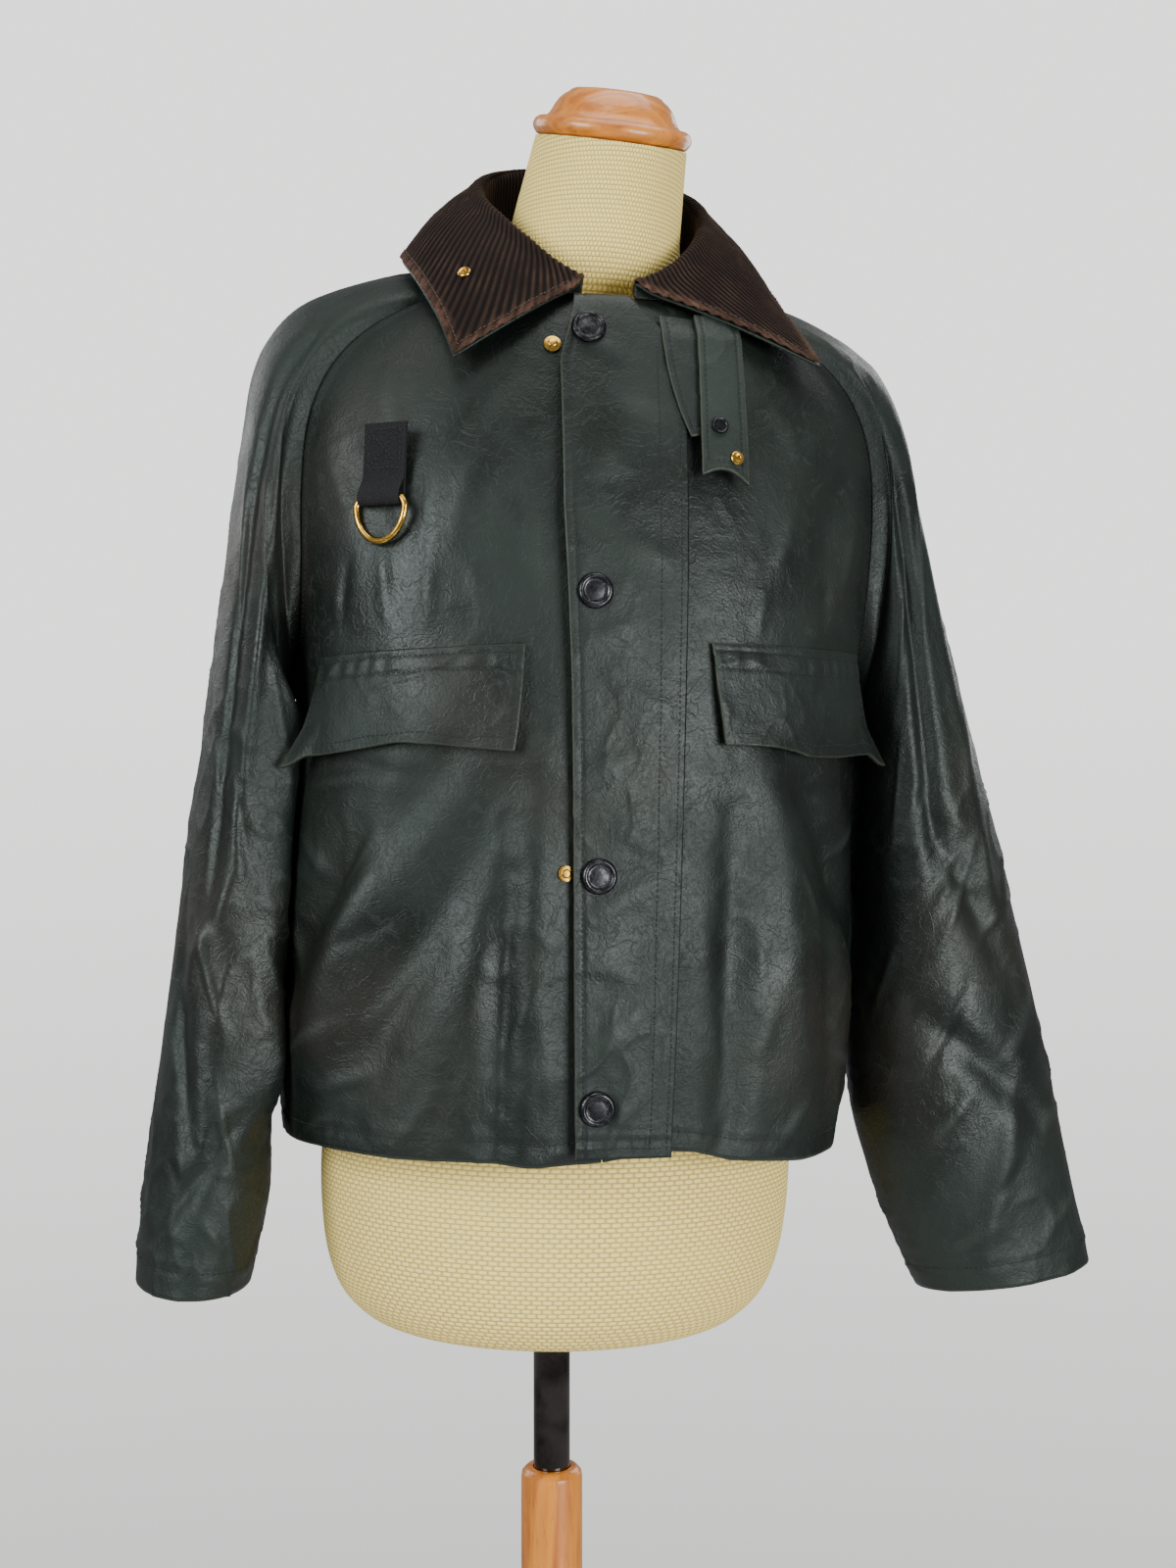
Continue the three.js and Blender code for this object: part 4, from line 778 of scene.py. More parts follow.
def bodyPanel(name, node, startAngle, endAngle, columns, cut, seams=()):
    levels = panelLevels(panelLook["rows"])[:, None]
    share = np.linspace(0, 1, columns)[None, :]
    angle = mix(startAngle(levels), endAngle(levels), share)
    level = np.broadcast_to(levels, angle.shape)
    base = bodyPoint(angle, level)
    detail, creases = bodyDetail(angle, level, base)
    points = base + bodyNormal(angle, level) * detail[..., None]
    points[..., 2] += hemWave(angle) * (1 - smooth(level, 0, 1.4))
    above = base[..., 2] - base[:1, :, 2]
    hem = 1 - smooth(above, hemTurn, hemTurn + hemWall["blend"])
    piece = sheetPiece(name, points, hemWall["thickness"], wallShare=mix(hemWall["single"], 1.0, hem),
                       attributes={"crease": np.clip(creases, 0, 3), "edge": hump(above, 0, 1.5)})
    dress(piece, waxMaterial, "waxed_cotton", node,
          flat=cut[:2], area=cut[2], held="draped", rests_on=["form_torso"])
    out = surfaceNormals(points)
    row = np.array([np.interp(hemDepth, above[:, j], np.arange(len(levels))) for j in range(columns)])
    sewPath(points, out, share[0], row / (len(levels) - 1))
    for seam in seams:
        up = np.linspace(underarmRound + 0.1, neckRound - 0.3, 200)
        across = (seam(up) - startAngle(up)) / (endAngle(up) - startAngle(up))
        sewPath(points, out, across, np.interp(up, levels[:, 0], np.arange(len(levels))) / (len(levels) - 1))


hemWaves = table("angle drop", (-180, 0), (-140, 2), (-100, -1), (-60, 1), (-40, -1), (-24, -2), (-12, -5),
                 (0, -2), (12, 5), (18, 4), (26, -2), (44, -5), (62, -3), (76, 3), (90, 1), (140, -2),
                 (180, 0))


def hemWave(angle):
    return np.interp(wrapAngle(angle), hemWaves["angle"], hemWaves["drop"])


def inset(level, gap):
    reach = np.minimum(tableValue(bodyRounds, level, "half"), tableValue(bodyRounds, level, "front"))
    return np.degrees(gap / reach)


def makePanels():
    for side, name in ((-1, "right"), (1, "left")):
        outer = lambda level, side=side: side * (seamAngle(level, "seamFront") - inset(level, seamGap))
        middle = lambda level, side=side: side * inset(level, panelLook["middleGap"])
        stitched = lambda level, side=side: side * (seamAngle(level, "seamFront") - seamStitch)
        start, end = (outer, middle) if side < 0 else (middle, outer)
        bodyPanel("front_%s_cloth" % name, "front_" + name, start, end,
                  panelLook["frontColumns"], (0.30, 0.57, 0.139), [stitched])
    bodyPanel(
        "back_cloth", "back",
        lambda level: seamAngle(level, "seamBack") + inset(level, seamGap),
        lambda level: 360 - seamAngle(level, "seamBack") - inset(level, seamGap),
        panelLook["backColumns"], (0.58, 0.59, 0.280),
        [lambda level: seamAngle(level, "seamBack") + seamStitch,
         lambda level: 360 - seamAngle(level, "seamBack") - seamStitch])


makePanels()
print("fronts and back made")


# Sleeves

sleeveNames = "outX outZ inX inZ depth mid"
sleeveRight = table(
    sleeveNames,
    (76, 1456, 187.3, 1165, 52, 0), (108, 1453, 189.2, 1161, 54, 0), (142, 1447, 190.6, 1157, 56, 0),
    (172, 1437, 191.6, 1152, 58, 1), (195, 1424, 192.2, 1146, 60, 1), (212, 1404, 192.8, 1139, 62, 2),
    (222, 1376, 193.3, 1130, 64, 3), (228, 1340, 193.8, 1119, 66, 4), (233, 1295, 194.2, 1104, 68, 5),
    (238, 1240, 194.8, 1083, 70, 6), (244, 1180, 195.8, 1053, 70, 6), (250, 1115, 197, 1013, 69, 4),
    (257, 1050, 197.6, 968, 67, 1), (263, 985, 196.8, 923, 65, -3), (269, 922, 195.4, 881, 63, -7),
    (274, 866, 195, 843, 61, -11), (278, 823, 200, 813, 60, -14), (279, 785, 206, 785, 59, -16),
)
sleeveLeft = table(
    sleeveNames,
    (76, 1456, 187.3, 1165, 52, 0), (108, 1453, 190, 1161, 54, 0), (140, 1447, 192.5, 1157, 56, 0),
    (168, 1436, 194.5, 1152, 58, 1), (190, 1423, 194, 1146, 60, 1), (208, 1407, 195, 1139, 62, 2),
    (222, 1378, 196, 1130, 64, 2), (230, 1342, 196.5, 1119, 65, 2), (241, 1300, 197, 1104, 66, 1),
    (255, 1248, 197.5, 1083, 66, 0), (273, 1188, 198, 1053, 65, -2), (293, 1123, 201, 1013, 62, -4),
    (311, 1060, 201, 968, 58, -7), (328, 1000, 203, 926, 54, -10), (344, 940, 208, 888, 50, -13),
    (358, 882, 220, 850, 46, -16), (370, 834, 236, 810, 43, -18), (381, 790, 256, 771, 41, -20),
)
# Across is in degrees round the section (0 outside, 90 front, 180 inside), along is the section's number.
sleeveRightFolds = table(
    foldNames,
    (52, 3, 66, 12, 10, -7), (88, 4, 84, 11, 9, 5), (20, 12, 70, 14.5, 9, -5), (95, 11, 30, 13.5, 8, 4),
    (110, 14, 40, 16, 8, -4), (-50, 4, -70, 12, 11, -7), (-30, 11, -100, 14, 10, -5),
)
sleeveLeftFolds = table(
    foldNames,
    (62, 3, 96, 11, 10, -8), (40, 4, 56, 12, 10, 4), (100, 10, 50, 13, 10, -6), (120, 12.5, 40, 15, 9, -5),
    (60, 14, 110, 16.5, 8, 4), (-50, 4, -72, 12, 11, -7), (-30, 12, -110, 14, 10, -5),
)
sleeveRightCreases = table(
    foldNames,
    (70, 6, 92, 7.2, 4, 1.5), (40, 7, 60, 9, 5, 1.4), (100, 8, 118, 9.6, 4, 1.6), (30, 10, 58, 10.8, 5, 1.5),
    (76, 10, 100, 11.2, 4, -1.5), (50, 12.2, 90, 13, 4, 1.8), (20, 13.4, 52, 13.9, 4, 1.6),
    (84, 13.6, 110, 14.6, 4, 1.7), (36, 14.6, 70, 15.2, 4, -1.6), (10, 15, 38, 15.8, 4, 1.5),
    (80, 15.4, 112, 16, 4, 1.5), (120, 11, 140, 12.4, 4, 1.5), (124, 13.2, 146, 14, 4, 1.4),
    (-20, 8, -44, 9, 5, 1.5), (-60, 7, -90, 8, 5, 1.5), (-90, 10, -120, 11, 5, 1.5),
    (-40, 11.6, -70, 12.4, 4, 1.7),
    (-80, 13, -110, 13.8, 4, 1.6), (-20, 13.8, -50, 14.6, 4, 1.6), (-60, 15, -96, 15.8, 4, 1.5),
    (0, 11, 20, 12, 5, 1.5), (-6, 5, 10, 6.6, 6, 1.4), (62, 16, 84, 16.5, 3.5, 1.2),
)
sleeveLeftCreases = table(
    foldNames,
    (84, 6, 104, 7.6, 4, 1.6), (46, 6.6, 70, 8.2, 5, 1.4), (108, 8.4, 126, 10, 4, 1.6),
    (30, 9.4, 60, 10.6, 5, 1.5),
    (66, 11.2, 96, 11.8, 4, 1.8), (20, 11.6, 50, 12.4, 4, 1.5), (84, 12.6, 116, 13.4, 4, -1.7),
    (34, 13.2, 66, 13.8, 4, 1.7), (92, 14, 124, 14.6, 4, 1.7), (20, 14.4, 56, 15, 4, 1.6),
    (72, 15.2, 104, 15.7, 4, -1.5), (30, 15.8, 62, 16.2, 3.5, 1.5), (128, 11.4, 148, 12.2, 4, 1.4),
    (100, 16, 130, 16.3, 3.5, 1.3), (-24, 8, -46, 9.2, 5, 1.5), (-62, 7, -92, 8.2, 5, 1.5),
    (-88, 10, -118, 11, 5, 1.5), (-40, 11.4, -72, 12.2, 4, 1.7), (-84, 13, -112, 13.9, 4, 1.6),
    (-20, 13.6, -54, 14.5, 4, 1.6), (-60, 15, -98, 15.7, 4, 1.5), (0, 10.6, 20, 11.8, 5, 1.5),
    (-6, 5, 12, 6.6, 6, 1.4),
)
sleeveLook = {"columns": 136, "rows": 205, "foldScale": 1.15, "foldStep": 38, "tuck": 0.9, "neckHalf": 22,
              "frontSteps": 9, "neckSteps": 4, "cuffTurn": 22, "cuffStitch": 17, "clear": 3.4, "leanTurn": 132,
              "leanWidth": 24,
              "ripples": ((1, 30, 5.5, 80, 2.2, 0.5, 1.7), (0.5, 14, 8.1, 55, 6.3, 0.3, 1.1))}


def seamLoop(side, share):  # place on the raglan seam: up the front, along the neck, down the back
    front, neck = sleeveLook["frontSteps"], sleeveLook["neckSteps"]
    place = share * (2 * front + neck)
    frontRound = mix(underarmRound, neckRound, np.clip(place / front, 0, 1))
    backRound = mix(neckRound, underarmRound, np.clip((place - front - neck) / front, 0, 1))
    across = np.clip((place - front) / neck, 0, 1)
    level = np.where(place <= front, frontRound, backRound)
    start, end = seamAngle(float(neckRound), "seamFront"), seamAngle(float(neckRound), "seamBack")
    angle = np.where(place <= front, seamAngle(frontRound, "seamFront"), seamAngle(backRound, "seamBack"))
    angle = np.where((place > front) & (place < front + neck), mix(start, end, across), angle)
    half = sleeveLook["neckHalf"]
    turn = np.where(place <= front, mix(180, half, place / front), mix(half, -half, across))
    turn = np.where(place >= front + neck, -mix(half, 180, (place - front - neck) / front), turn)
    return bodyPoint(side * angle, level), bodyNormal(side * angle, level), turn


def sectionPoint(row, turn, side):
    along, across = np.cos(np.radians(turn)), np.sin(np.radians(turn))
    x = (row["outX"] + row["inX"]) / 2 + along * (row["outX"] - row["inX"]) / 2
    z = (row["outZ"] + row["inZ"]) / 2 + along * (row["outZ"] - row["inZ"]) / 2
    return np.stack(np.broadcast_arrays(side * x, row["mid"] - row["depth"] * across, z), axis=-1)


def closeGap(points, turn, place, side):  # the sleeve's front leans in till it nearly meets the body
    level = roundAt(90.0, points[..., 2])
    half, front, square = tableValues(bodyRounds, level, "half front square")
    reach = half * np.clip(1 - np.abs(points[..., 1] / front) ** square, 0, 1) ** (1 / square)
    weight = hump(turn, sleeveLook["leanTurn"], sleeveLook["leanWidth"])
    weight = weight * smooth(place, 6.5, 8) * (1 - smooth(place, 13, 14.3))
    points[..., 0] += (side * (reach + sleeveLook["clear"]) - points[..., 0]) * weight


def sleeveGrid(side, rows, folds, creases):
    names = sleeveNames.split()
    columns = sleeveLook["columns"]
    seam, out, turn = seamLoop(side, np.arange(columns) / columns)
    last = len(rows["mid"]) - 1
    fine = np.linspace(0, last, 400)
    along = {n: tableValue(rows, fine, n) for n in names}
    spine = sum(sectionPoint(along, corner, side) for corner in (0, 90, 180, -90)) / 4
    length = pathLength(spine)
    place = np.interp(np.linspace(0, length[-1], sleeveLook["rows"]), length, fine)[:, None]
    fromCuff = length[-1] - np.interp(place, fine, length)
    row = {n: tableValue(rows, place, n) for n in names}
    first = {n: rows[n][0] for n in names}
    settled, calm = smooth(place, 0, 6), smooth(place, 0.5, 2.5)
    centre = (sectionPoint(row, 0, side) + sectionPoint(row, 180, side)) / 2
    offset = seam - sectionPoint(first, turn, side)
    points = sectionPoint(row, turn[None, :], side) + offset * (1 - settled)[..., None]
    scale, step = sleeveLook["foldScale"], sleeveLook["foldStep"]
    fold = foldHeight(folds, turn[None, :], place, scale, step) * calm
    away = unit(points - centre)
    tuck = smooth(np.abs(turn)[None, :], 60, 130) * (1 - settled)
    points = points + away * fold[..., None] + out * (sleeveLook["tuck"] * tuck)[..., None]
    if side < 0:
        closeGap(points, turn[None, :], place, side)
    normal = surfaceNormals(points, True) * -side
    small = foldHeight(creases, turn[None, :], place, scale, step) * calm
    ripple = ripples(points, smooth(place, 6, 13), sleeveLook["ripples"])
    turned = 1 - smooth(fromCuff, sleeveLook["cuffTurn"], sleeveLook["cuffTurn"] + hemWall["blend"])
    stitch = hump(fromCuff, sleeveLook["cuffStitch"], 1.5)
    pucker = hump(fromCuff, sleeveLook["cuffStitch"], 5)
    detail = (small + ripple) * smooth(place, 0, 1.2) + 0.5 * turned - 0.6 * stitch
    detail = detail + pucker * 0.9 * (crumple(points, 9, 3.7) - 0.3)
    points = points + normal * detail[..., None]
    hem, edge = turned + np.zeros_like(fold), hump(fromCuff, 0, 1.6) + np.zeros_like(fold)
    return points, normal, np.clip(small, 0, 3), hem, edge, fromCuff[:, 0]


def makeSleeve(side, name, rows, folds, creases, cut):
    points, normal, crease, hem, edge, fromCuff = sleeveGrid(side, rows, folds, creases)
    piece = sheetPiece("sleeve_%s_cloth" % name, points, hemWall["thickness"], closed=True, outward=-side,
                       attributes={"crease": crease, "edge": edge},
                       wallShare=mix(hemWall["single"], 1.0, hem))
    dress(piece, waxMaterial, "waxed_cotton", "sleeve_" + name,
          flat=cut[:2], area=cut[2], held="draped", rests_on=["form_torso"])
    ring = int(np.argmin(np.abs(fromCuff - sleeveLook["cuffStitch"])))
    closed = lambda grid: np.concatenate([grid[ring], grid[ring][:1]])
    stitchRow("wax", closed(points) + closed(normal) * 0.15, closed(normal))


makeSleeve(-1, "right", sleeveRight, sleeveRightFolds, sleeveRightCreases, (0.44, 0.72, 0.190))
makeSleeve(1, "left", sleeveLeft, sleeveLeftFolds, sleeveLeftCreases, (0.46, 0.74, 0.217))
print("sleeves made")


# Collar: two plies about one middle surface that stands, folds over and falls

collarNames = "angle stand edgeX edgeY edgeZ"
collarRight = table(
    collarNames,
    (15, 5, 103, -116, 1376), (30, 14, 111, -93, 1404), (50, 29, 121, -58, 1433), (75, 43, 127, -18, 1455),
    (105, 52, 121, 26, 1468), (135, 55, 92, 68, 1478), (160, 56, 46, 92, 1485), (180, 56, 0, 99, 1487),
)
collarLeft = table(
    collarNames,
    (11, 5, 136, -97, 1391), (28, 13, 131, -76, 1409), (50, 29, 126, -48, 1431), (75, 43, 124, -12, 1453),
    (105, 52, 118, 30, 1467), (135, 55, 90, 70, 1478), (160, 56, 45, 92, 1485), (180, 56, 0, 99, 1487),
)
collarLook = {"foldRadius": 4, "roll": 7, "waleMm": 3.5, "waleHeight": 1.3, "standRows": 9, "leafRows": 24,
              "stitchMm": 5.3, "cordWall": 1.5, "slantRight": 1.1, "slantLeft": 0.53}
leafShares = (0.08, 0.28, 0.52, 0.76, 1)


def collarSections(side, place):  # ten points across the collar at each place
    rows = collarRight if side < 0 else collarLeft
    angle, stand, edgeX, edgeY, edgeZ = tableValues(rows, place, collarNames)
    level = np.full(angle.shape, float(neckRound))
    seam = bodyPoint(side * angle, level)
    inward = -bodyNormal(side * angle, level)
    inward[..., 2] = 0
    inward = unit(inward)
    up = np.array([0.0, 0.0, 1.0])
    radius = collarLook["foldRadius"]
    foot = seam + inward * waxThickness / 2 + up * (seamGap + 0.5)
    top = foot + inward * 2 + up * stand[..., None]
    edge = np.stack([side * edgeX, edgeY, edgeZ], axis=-1)
    start = top - inward * 2 * radius
    fall = edge - start
    roll = unit(np.cross(np.cross(unit(fall), inward), fall))
    roll = np.where(roll[..., 2:] < 0, -roll, roll)
    points = [foot, (foot + top) / 2, top]
    for turn in np.radians((60, 120)):
        points.append(top - inward * radius * (1 - math.cos(turn)) + up * radius * math.sin(turn))
    for share in leafShares:
        points.append(mix(start, edge, share) + roll * collarLook["roll"] * math.sin(math.pi * share))
    return np.stack(points, axis=-2)


def collarPoint(side, place, across):  # across from 0 at the neck seam to 9 at the leaf's edge
    sections = collarSections(side, place)
    last = sections.shape[-2] - 1
    low = np.clip(np.floor(across).astype(int), 0, last - 1)
    t = (across - low)[..., None]
    rows = [np.clip(low + k, 0, last)[..., None, None] for k in (-1, 0, 1, 2)]
    return curveBetween(*(np.take_along_axis(sections, row, axis=-2)[..., 0, :] for row in rows), t)


def collarNormal(side, place, across):
    ahead = collarPoint(side, place + 0.02, across) - collarPoint(side, place - 0.02, across)
    further = (collarPoint(side, place, np.minimum(across + 0.03, 9.0))
               - collarPoint(side, place, np.maximum(across - 0.03, 0.0)))
    return unit(np.cross(ahead, further)) * -side


foldAcross = 3.5            # the crown of the fold, between the two bend points


def waleSlant(side, place):  # how far the wales run forward for each mm down the leaf
    front = collarLook["slantRight"] if side < 0 else collarLook["slantLeft"]
    return front * (1 - smooth(place, 2.5, 6.5))


def collarColumns(side):  # starts of the wale columns along the fold, from the front to the centre back
    fine = np.linspace(0.02, 7, 900)
    line = collarPoint(side, fine, np.full(900, foldAcross))
    steps = np.linalg.norm(np.diff(line, axis=0), axis=1)
    narrow = np.cos(np.arctan(waleSlant(side, (fine[1:] + fine[:-1]) / 2)))
    length = np.concatenate([[0], np.cumsum(steps * narrow)])
    count = int(length[-1] / collarLook["waleMm"]) * 5
    return np.interp(np.linspace(0, length[-1], count + 1), length, fine)


def collarHalf(side):
    start = collarColumns(side)
    count = len(start)
    across = np.concatenate([np.linspace(0, foldAcross, collarLook["standRows"], endpoint=False),
                             np.linspace(foldAcross, 9, 61)])
    slant = waleSlant(side, start)
    place = np.repeat(start[:, None], len(across), axis=1)
    for k in range(collarLook["standRows"] + 1, len(across)):
        here, low, high = place[:, k - 1], across[k - 1], across[k]
        spot = collarPoint(side, here, np.full(count, low))
        ahead = collarPoint(side, np.maximum(here, 0.05) - 0.05, np.full(count, low))
        beside = collarPoint(side, np.maximum(here, 0.05), np.full(count, low))
        width = np.linalg.norm(ahead - beside, axis=1) / 0.05
        down = np.linalg.norm(collarPoint(side, here, np.full(count, high)) - spot, axis=1)
        place[:, k] = np.maximum(here - slant * down / np.maximum(width, 4), -0.3)
    # A wale that reaches the front edge ends there, so its rows are closed up.
    lines = []
    for j in range(count):
        leaf = slice(collarLook["standRows"], None)
        over, line = across[leaf], place[j, leaf]
        end = 9.0
        if line[-1] < 0:
            k = int(np.argmax(line < 0))
            end = np.interp(0, [-line[k - 1], -line[k]], [over[k - 1], over[k]])
        rows = np.linspace(foldAcross, end, collarLook["leafRows"])
        lines.append((np.concatenate([np.full(collarLook["standRows"], start[j]),
                                      np.maximum(np.interp(rows, over, line), 0)]),
                      np.concatenate([across[:collarLook["standRows"]], rows])))
    placeGrid = np.stack([line[0] for line in lines], axis=1)
    acrossGrid = np.stack([line[1] for line in lines], axis=1)
    number = np.arange(count)
    return placeGrid, acrossGrid, number


def remaining(points):  # distance along each column to the free edge
    steps = np.linalg.norm(np.diff(points, axis=0), axis=-1)
    total = np.concatenate([np.zeros((1, points.shape[1])), np.cumsum(steps, axis=0)])
    return total[-1:] - total


def collarTop():
    halves = []
    for side in (-1, 1):
        place, across, number = collarHalf(side)
        points, normal = collarPoint(side, place, across), collarNormal(side, place, across)
        slant = waleSlant(side, place[:1])
        onFront = smooth(0.06 - place[-1:], 0, 0.06)
        share = mix(np.cos(np.arctan(slant)), np.maximum(np.sin(np.arctan(slant)), 0.3), onFront)
        away = remaining(points) * share
        wale = np.array([0.0, 0.6, 1.0, 1.0, 0.6])[number % 5] + np.zeros(place.shape)
        wale *= mix(0.82, 1.0, np.abs(crumple(points, 11, 2.0)))
        if side > 0:
            points, normal, away, wale = (value[:, ::-1][:, 1:] for value in (points, normal, away, wale))
        halves.append((points, normal, away, wale))
    points, normal, away, wale = (np.concatenate([a, b], axis=1) for a, b in zip(*halves))
    soft = patches(points, 45, 6.1) - 0.5
    roll = 0.5 * hump(away, 2.5, 2) - 0.5 * hump(away, collarLook["stitchMm"], 0.9)
    height = seamGap / 2 + cordThickness - 0.3 + collarLook["waleHeight"] * wale + 0.7 * soft + roll
    base = points
    points = points + normal * height[..., None]
    rubbed = hump(away, 0, 4.2) * mix(0.5, 1.0, patches(base, 12, 3.3))
    piece = sheetPiece("collar_cord", points, collarLook["cordWall"],
                       attributes={"wale": wale, "edge": rubbed})
    dress(piece, cordMaterial, "corduroy", "collar_top",
          flat=(0.52, 0.18), area=0.068, held="folded", rests_on=["collar_lining"])
    rows = np.arange(away.shape[0])
    path, normals = [], []
    for j in range(1, away.shape[1] - 1, 3):
        leaf = away[:, j][::-1]
        if leaf[-1] < 30:
            continue
        k = np.interp(collarLook["stitchMm"], leaf, rows[::-1])
        low = int(k)
        beyond = points[min(low + 1, len(rows) - 1), j]
        path.append(mix(points[low, j], beyond, k - low) + normal[low, j] * 0.45)
        normals.append(normal[low, j])
    stitchRow("cord", np.array(path), np.array(normals))


def collarUnder():
    points, normals = [], []
    for side, part in ((-1, np.linspace(0, 7, 90)), (1, np.linspace(7, 0, 90)[1:])):
        place, across = np.meshgrid(part, np.linspace(0, 9, 46))
        points.append(collarPoint(side, place, across))
        normals.append(collarNormal(side, place, across))
    points, normals = np.concatenate(points, axis=1), np.concatenate(normals, axis=1)
    away = remaining(points)
    further = unit(points - np.roll(points, 1, axis=0))
    points = points + further * hump(away, 0, 4)[..., None] * 1.1
    piece = sheetPiece("collar_lining", points - normals * (seamGap / 2), waxThickness,
                       attributes={"crease": np.zeros(away.shape), "edge": hump(away, 0, 1.5) * 0.6})
    dress(piece, underMaterial, "waxed_cotton", "collar_under",
          flat=(0.52, 0.18), area=0.068, held="folded", rests_on=["collar_cord"])


collarTop()
collarUnder()
print("collar made")


# Flaps and tabs that lie over the body

def sewLines(points, normals, *lines, waver=0.0):  # rows with their starts, ends and numbers of steps
    for start, end, steps in lines:
        share = np.linspace(0, 1, steps)
        up = mix(start[1], end[1], share) + waver * np.sin(share * 23)
        sewPath(points, normals, mix(start[0], end[0], share), up)


flapSeamX = 42
flapFree = table("z x", (888, -18), (1000, -23), (1177, -29), (1285, -36), (1377, -37), (1424, -25))
flapTop = table("across z", (0, 1420), (0.5, 1422), (0.8, 1402), (1, 1384))
flapFoot = 890
stormLook = {"columns": 66, "rows": 300, "thickness": 2.9, "clear": 0.4, "edgeStitch": 5.5}
stormCreases = table(
    foldNames,
    (2, 905, 20, 930, 6, 1.6), (-10, 955, 26, 985, 7, 1.8), (-14, 1010, 16, 1000, 6, 1.5),
    (-12, 1035, 30, 1062, 7, 1.7), (4, 1088, 36, 1075, 6, 1.4), (-20, 1120, 14, 1135, 7, 1.5),
    (6, 1172, 34, 1160, 7, 1.3), (-22, 1200, 10, 1215, 7, 1.2), (0, 1262, 34, 1252, 8, 1.3),
    (-26, 1300, 8, 1318, 8, 1.3), (-4, 1352, 30, 1345, 8, 1.5), (-26, 1395, 6, 1380, 7, 1.2),
    (-8, 940, 6, 902, 7, -1.5), (12, 1020, 34, 1035, 6, -1.3), (-14, 1180, 4, 1150, 7, -1.2),
)


def stormPlace(across, up):
    top = np.interp(across, flapTop["across"], flapTop["z"])
    z = mix(flapFoot, top, up)
    return mix(np.interp(z, flapFree["z"], flapFree["x"]), flapSeamX, across), z


def stormLift(across, up):
    return seamGap + 1.4 + (1 - across) * (2.2 + 1.2 * np.cos(9 * up))


def stormFlap():
    across, up = shareGrid(stormLook["columns"], stormLook["rows"])
    x, z = stormPlace(across, up)
    lift = stormLift(across, up) + stormLook["thickness"] + stormLook["clear"]
    creases = foldHeight(stormCreases, x, z, 1, 1)
    base = overBody(angleAt(x, z), z, lift)
    edgeGap = across * (flapSeamX - np.interp(z, flapFree["z"], flapFree["x"]))
    row = 0.5 * hump(edgeGap, stormLook["edgeStitch"], 1.1)
    detail = 0.8 * np.maximum(creases, -0.8) + 0.3 * crumple(base, 26, 1.9) * patches(base, 60, 4.2) - row
    points = base + surfaceNormals(base) * detail[..., None]
    piece = sheetPiece("storm_flap_cloth", points, stormLook["thickness"],
                       attributes={"crease": np.clip(creases, 0, 3), "edge": hump(edgeGap, 0, 1.3)})
    dress(piece, waxMaterial, "waxed_cotton", "storm_flap",
          flat=(0.08, 0.54), held="draped", rests_on=["front_left_cloth", "front_right_cloth"])
    normals = surfaceNormals(points)
    width = flapSeamX - flapFree["x"].mean()
    free, near, far = stormLook["edgeStitch"] / width, 1 - 4 / width, 1 - 16 / width
    sewLines(points, normals, ((free, 0.006), (free, 0.985), 160), ((near, 0.006), (near, 0.98), 160),
             ((far, 0.006), (far, 0.98), 160), ((0.08, 0.012), (0.94, 0.012), 60))


pocketNames = "inner outer topIn topOut footIn footOut slant flare lift"
pocketRight = table(pocketNames, (17, 61, 1200, 1190, 1137, 1127, 1.5, 6, 10))
pocketLeft = table(pocketNames, (17.5, 59, 1206, 1207, 1141, 1138, 3, 8, 12))
pocketLook = {"columns": 120, "rows": 64, "thickness": 2.9, "clear": 0.4, "heightMm": 62, "widthMm": 140,
              "upperStitch": 4.5, "lowerStitch": 15, "tipDrop": 7, "tipFrom": 0.88}


